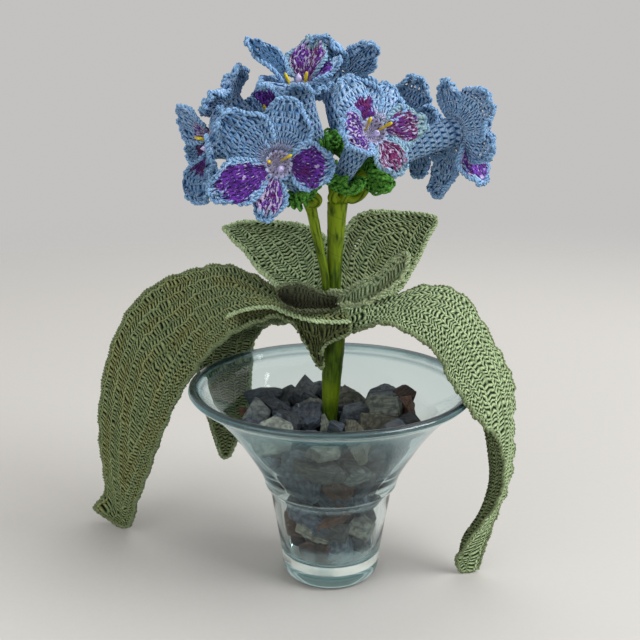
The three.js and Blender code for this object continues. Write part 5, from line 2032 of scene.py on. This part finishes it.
@dataclass
class LeafMaker:
    """Makes the crocheted leaves: rows of stitches that run parallel to the edges.

    Attributes:
        materials: The cottons by slot.
        stitch_width: The length of one stitch along a row.
        row_height: The distance from row to row.
        along_step: The grid's step along a leaf.
        across_step: The grid's step across it.
        ground: Half of the blade's thickness between the stitches.
        relief: How far the stitches stand out.
        chain_cord: The radius of one cord of the edge chain.
        chain_pitch: The length of one turn of the chain.
        chain_sides: Points round one cord.
        tooth: How far the chain's teeth stand out.
        small_waves: Waves of the edges, as size, count, and phase across and at the start.
        flap_edge: Where the folded flap and its painted shade end across, as shares.
    """

    materials: dict[Slot, Material]
    stitch_width: float = 2.0
    row_height: float = 3.3
    along_step: float = 0.5
    across_step: float = 0.62
    ground: float = 0.12
    relief: float = 0.8
    chain_cord: float = 0.64
    chain_pitch: float = 4.0
    chain_sides: int = 6
    tooth: float = 0.5
    small_waves: tuple[tuple[float, float, float, float], ...] = (
        (0.55, 4.3, 2.0, 0.0), (0.35, 7.9, 0.0, 1.0),
    )
    flap_edge: tuple[float, float] = (0.28, 0.33)

    def surface(self, leaf: Leaf) -> Array:
        """The leaf's middle surface as a grid at even steps along its length.

        A smooth curve runs through each column of knots, another across them, and the edges
        ripple by sines along the leaf that grow with the square of the place across.

        Args:
            leaf: The leaf.

        Returns:
            The points, by step along and by step across.
        """
        knots = np.array(leaf.stations, float)
        fine = np.linspace(0, 1, 600)
        run = lengths_along(smooth_curve(knots, fine).mean(axis=1))
        u = np.interp(np.linspace(0, run[-1], int(run[-1] / self.along_step)), run, fine)
        columns = smooth_curve(knots, u).transpose(1, 0, 2)
        rough = smooth_curve(columns, np.linspace(0, 1, 40)).transpose(1, 0, 2)
        width = np.linalg.norm(np.diff(rough, axis=1), axis=-1).sum(axis=1)
        v = np.linspace(0, 1, int(np.percentile(width, 80) / self.across_step))
        plain = smooth_curve(columns, v).transpose(1, 0, 2)
        u, v = u[:, None], v[None, :]
        edge = (2 * v - 1) ** 2
        fade = np.sqrt(np.clip(np.sin(math.pi * u), 0, 1))
        wave = np.sin(2 * math.pi * leaf.waves * u + 4 * v)
        small = sum(
            size * np.sin(2 * math.pi * leaf.waves * count * u + slant * v + start)
            for size, count, slant, start in self.small_waves
        )
        moved = leaf.ripple * edge * fade * wave + edge**3 * fade * small
        return plain + grid_normals(plain) * moved[..., None]

    def shades(self, leaf: Leaf, u: Array, v: Array) -> list[Array]:
        """The painted shade of each face: the leaf's own, and more on the folded flap.

        Args:
            leaf: The leaf.
            u: Shares along it.
            v: Shares across it.

        Returns:
            A painted shade for each face.
        """
        # Painted shade: each face's own, and the folded flap darkened
        flap = (1 - ramp(u, leaf.fold - 0.04, leaf.fold)) * (1 - ramp(v, *self.flap_edge))
        flap = flap * (leaf.fold > 0)
        # The young leaves' painted shade deepens towards the edge at v = 0
        grade = 1.15 - 0.25 * v if leaf.slot is Slot.YOUNG_LEAF else 1.0
        return [
            np.clip(np.maximum(shade * grade, 0.85 * flap), 0, 1) for shade in leaf.shades
        ]

    def opening(self, leaf: Leaf, u: Array, v: Array) -> Array | float:
        """How far the stitches part: a bell curve round each of the leaf's gaps."""
        return sum(
            np.exp(-(((u - place) / size) ** 2) - ((v - across) / (1.4 * size)) ** 2)
            for place, across, size in leaf.gaps
        )

    def build_leaf(self, leaf: Leaf) -> None:
        """One leaf: its stitched blade and the chain round its edges.

        Each face is the leaf's surface, moved along its normals by the stitch height.

        Args:
            leaf: The leaf.
        """
        surface = self.surface(leaf)
        normals = grid_normals(surface)
        rows, columns = surface.shape[:2]
        u, v = np.linspace(0, 1, rows)[:, None], np.linspace(0, 1, columns)[None, :]
        width = np.linalg.norm(np.diff(surface, axis=1), axis=-1).sum(axis=1, keepdims=True)
        to_edge = np.minimum(v, 1 - v) * width
        along = np.arange(rows)[:, None] * self.along_step * np.ones((1, columns))
        places = uneven(along / self.stitch_width, to_edge / self.row_height + 0.4, rows)
        height = LEAF_STITCH.height(*places) * np.minimum(1.0, 0.3 + to_edge / 1.2)
        relief = self.relief * (0.5 if leaf.slot is Slot.YOUNG_LEAF else 1.0)
        lift = self.ground + relief * height
        shades = self.shades(leaf, u, v)
        opening = self.opening(leaf, u, v)
        faces = [{"open": opening, "shade": shade, "plain": leaf.plain} for shade in shades]
        shells = [blade_shell(surface, lift, np.stack(places, -1), tuple(faces))]
        # The edge chain takes most of the darker face's painted shade
        gloom = (np.maximum(*shades) * 0.8)[..., None]
        edge = [
            np.concatenate([grid[0, ::-1], grid[1:, 0], grid[-1, 1:-1], grid[::-1, -1]])
            for grid in (surface, normals, gloom)
        ]
        shells += self.braid(*edge, leaf.plain)
        if leaf.fold > 0:
            stop, column = int(leaf.fold * rows), int(0.32 * columns)
            facing = normals[:stop, column]
            line = surface[:stop, column] - 0.6 * facing
            shells += self.braid(line, facing, np.zeros((stop, 1)), leaf.plain)
        piece = Piece(f"{leaf.name}_crochet", leaf.name, leaf.slot, self.materials[leaf.slot])
        piece.make(*shells)

    def braid(self, line: Array, normals: Array, gloom: Array, plain: float) -> list[Shell]:
        """A twisted chain along a line, with small teeth outwards and a wave of its own.

        A tooth is the size of the sine of the run, outwards, which is the tangent crossed
        with the normal.

        Args:
            line: The line that the chain follows.
            normals: The surface's normals along it.
            gloom: How far painted shade darkens it, in one column.
            plain: How little of the second dye it has.

        Returns:
            The chain's two cords.
        """
        path, facing, gloom = resampled(line, 0.7, normals, gloom)
        path, facing = eased(path, 4), unit(facing)
        run = lengths_along(path)[:, None]
        outward = unit(np.cross(np.gradient(path, axis=0), facing))
        path = path + 0.3 * np.sin(math.pi * run) * facing
        path = path + self.tooth * abs(np.sin(math.pi * run / 3.4)) * outward
        marks = {"shade": gloom[:, 0], "plain": plain}
        return rope_shells(
            path, facing, self.chain_cord, self.chain_pitch, self.chain_sides, marks
        )

    def build(self, leaves: tuple[Leaf, ...]) -> None:
        """Makes every leaf."""
        for leaf in leaves:
            self.build_leaf(leaf)


# The studio


@dataclass(frozen=True)
class Lamp:
    """A square soft light: where it is, its width, its power and its colour."""

    name: str
    place: Point
    size: float
    power: float
    colour: Point = (1.0, 1.0, 1.0)

    def hang(self, aim: Point) -> None:
        """Puts the light at its place, looking at a point.

        Args:
            aim: The point, in metres.
        """
        lamp = bpy.data.lights.new(self.name, "AREA")
        lamp.size, lamp.energy, lamp.color = self.size, self.power, self.colour
        holder = linked(self.name, lamp)
        holder.location = self.place
        away = unit(np.array(self.place) - np.array(aim))
        yaw = math.atan2(away[1], away[0]) + math.pi / 2
        holder.rotation_euler = (math.acos(away[2]), 0, yaw)


@dataclass
class Studio:
    """The camera of the photograph, a pale floor and soft lights, in metres."""

    floor_radius: float = 1.3
    floor_solid: float = 0.45
    floor_colour: str = "#BEBBB6"
    floor_sides: int = 64
    world_colour: tuple = (0.80, 0.79, 0.78, 1.0)
    world_strength: float = 0.68
    aim: Point = (0.0, 0.0, 0.14)
    lamps: tuple[Lamp, ...] = (
        Lamp("key", (1.5, -0.55, 1.3), 1.3, 44.0, (0.96, 0.98, 1.0)),
        Lamp("fill", (-1.1, -1.1, 0.7), 1.4, 9.0, (0.95, 0.97, 1.0)),
        Lamp("back", (0.3, 0.7, 2.0), 1.8, 14.0),
    )

    def camera(self) -> None:
        """The camera where the photograph was taken from."""
        lens = bpy.data.cameras.new("camera")
        lens.sensor_width = SENSOR_WIDTH
        lens.lens = FOCAL_PIXELS / FRAME_PIXELS * SENSOR_WIDTH
        lens.clip_start = 0.01
        holder = linked("camera", lens)
        holder.location = CAMERA_PLACE
        holder.rotation_euler = (math.radians(90 - CAMERA_PITCH), 0, 0)
        bpy.context.scene.camera = holder

    def floor(self) -> None:
        """A pale disc under the vase, which fades into the background at a distance."""
        points = turned(np.array([self.floor_radius]), np.zeros(1), self.floor_sides)[0]
        mesh = bpy.data.meshes.new("floor")
        mesh.from_pydata([*map(tuple, points)], [], [tuple(range(self.floor_sides))])
        tree = Tree("pale_floor")
        grain = tree.noise(tree.place(), 300.0, 3.0)
        pale = linear(self.floor_colour)
        darker = tuple(0.96 * share for share in pale[:3]) + (1.0,)
        apart = tree.node("ShaderNodeVectorMath", {"operation": "LENGTH"}, {0: tree.place()}, 1)
        mesh.materials.append(tree.finish(
            Base_Color=tree.mix(grain, darker, pale), Roughness=0.8,
            Alpha=1.0 - apart.ramp(self.floor_solid, 0.97 * self.floor_radius),
        ))
        floor = linked("floor", mesh)

    def build(self) -> None:
        """Sets up the camera, the floor, the lights and the world."""
        self.camera()
        self.floor()
        for lamp in self.lamps:
            lamp.hang(self.aim)
        world = bpy.data.worlds.new("studio")
        world.use_nodes = True
        background = world.node_tree.nodes["Background"]
        background.inputs[0].default_value = self.world_colour
        background.inputs[1].default_value = self.world_strength
        bpy.context.scene.world = world
        bpy.context.scene.view_settings.view_transform = "Standard"


def main() -> None:
    logging.basicConfig(level=logging.INFO, format="%(name)s: %(message)s")
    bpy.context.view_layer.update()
    Studio().build()
    materials = {slot: finish.build() for slot, finish in FINISHES.items()}
    vase = Vase()
    vase.build(materials[Slot.GLASS])
    Chippings(vase).build(materials[Slot.SLATE])
    Stems().build(BLOOMS, materials[Slot.STEM])
    LeafMaker(materials).build(LEAVES)
    BloomMaker(materials).build(BLOOMS)
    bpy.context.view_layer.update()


if __name__ == "__main__":
    main()
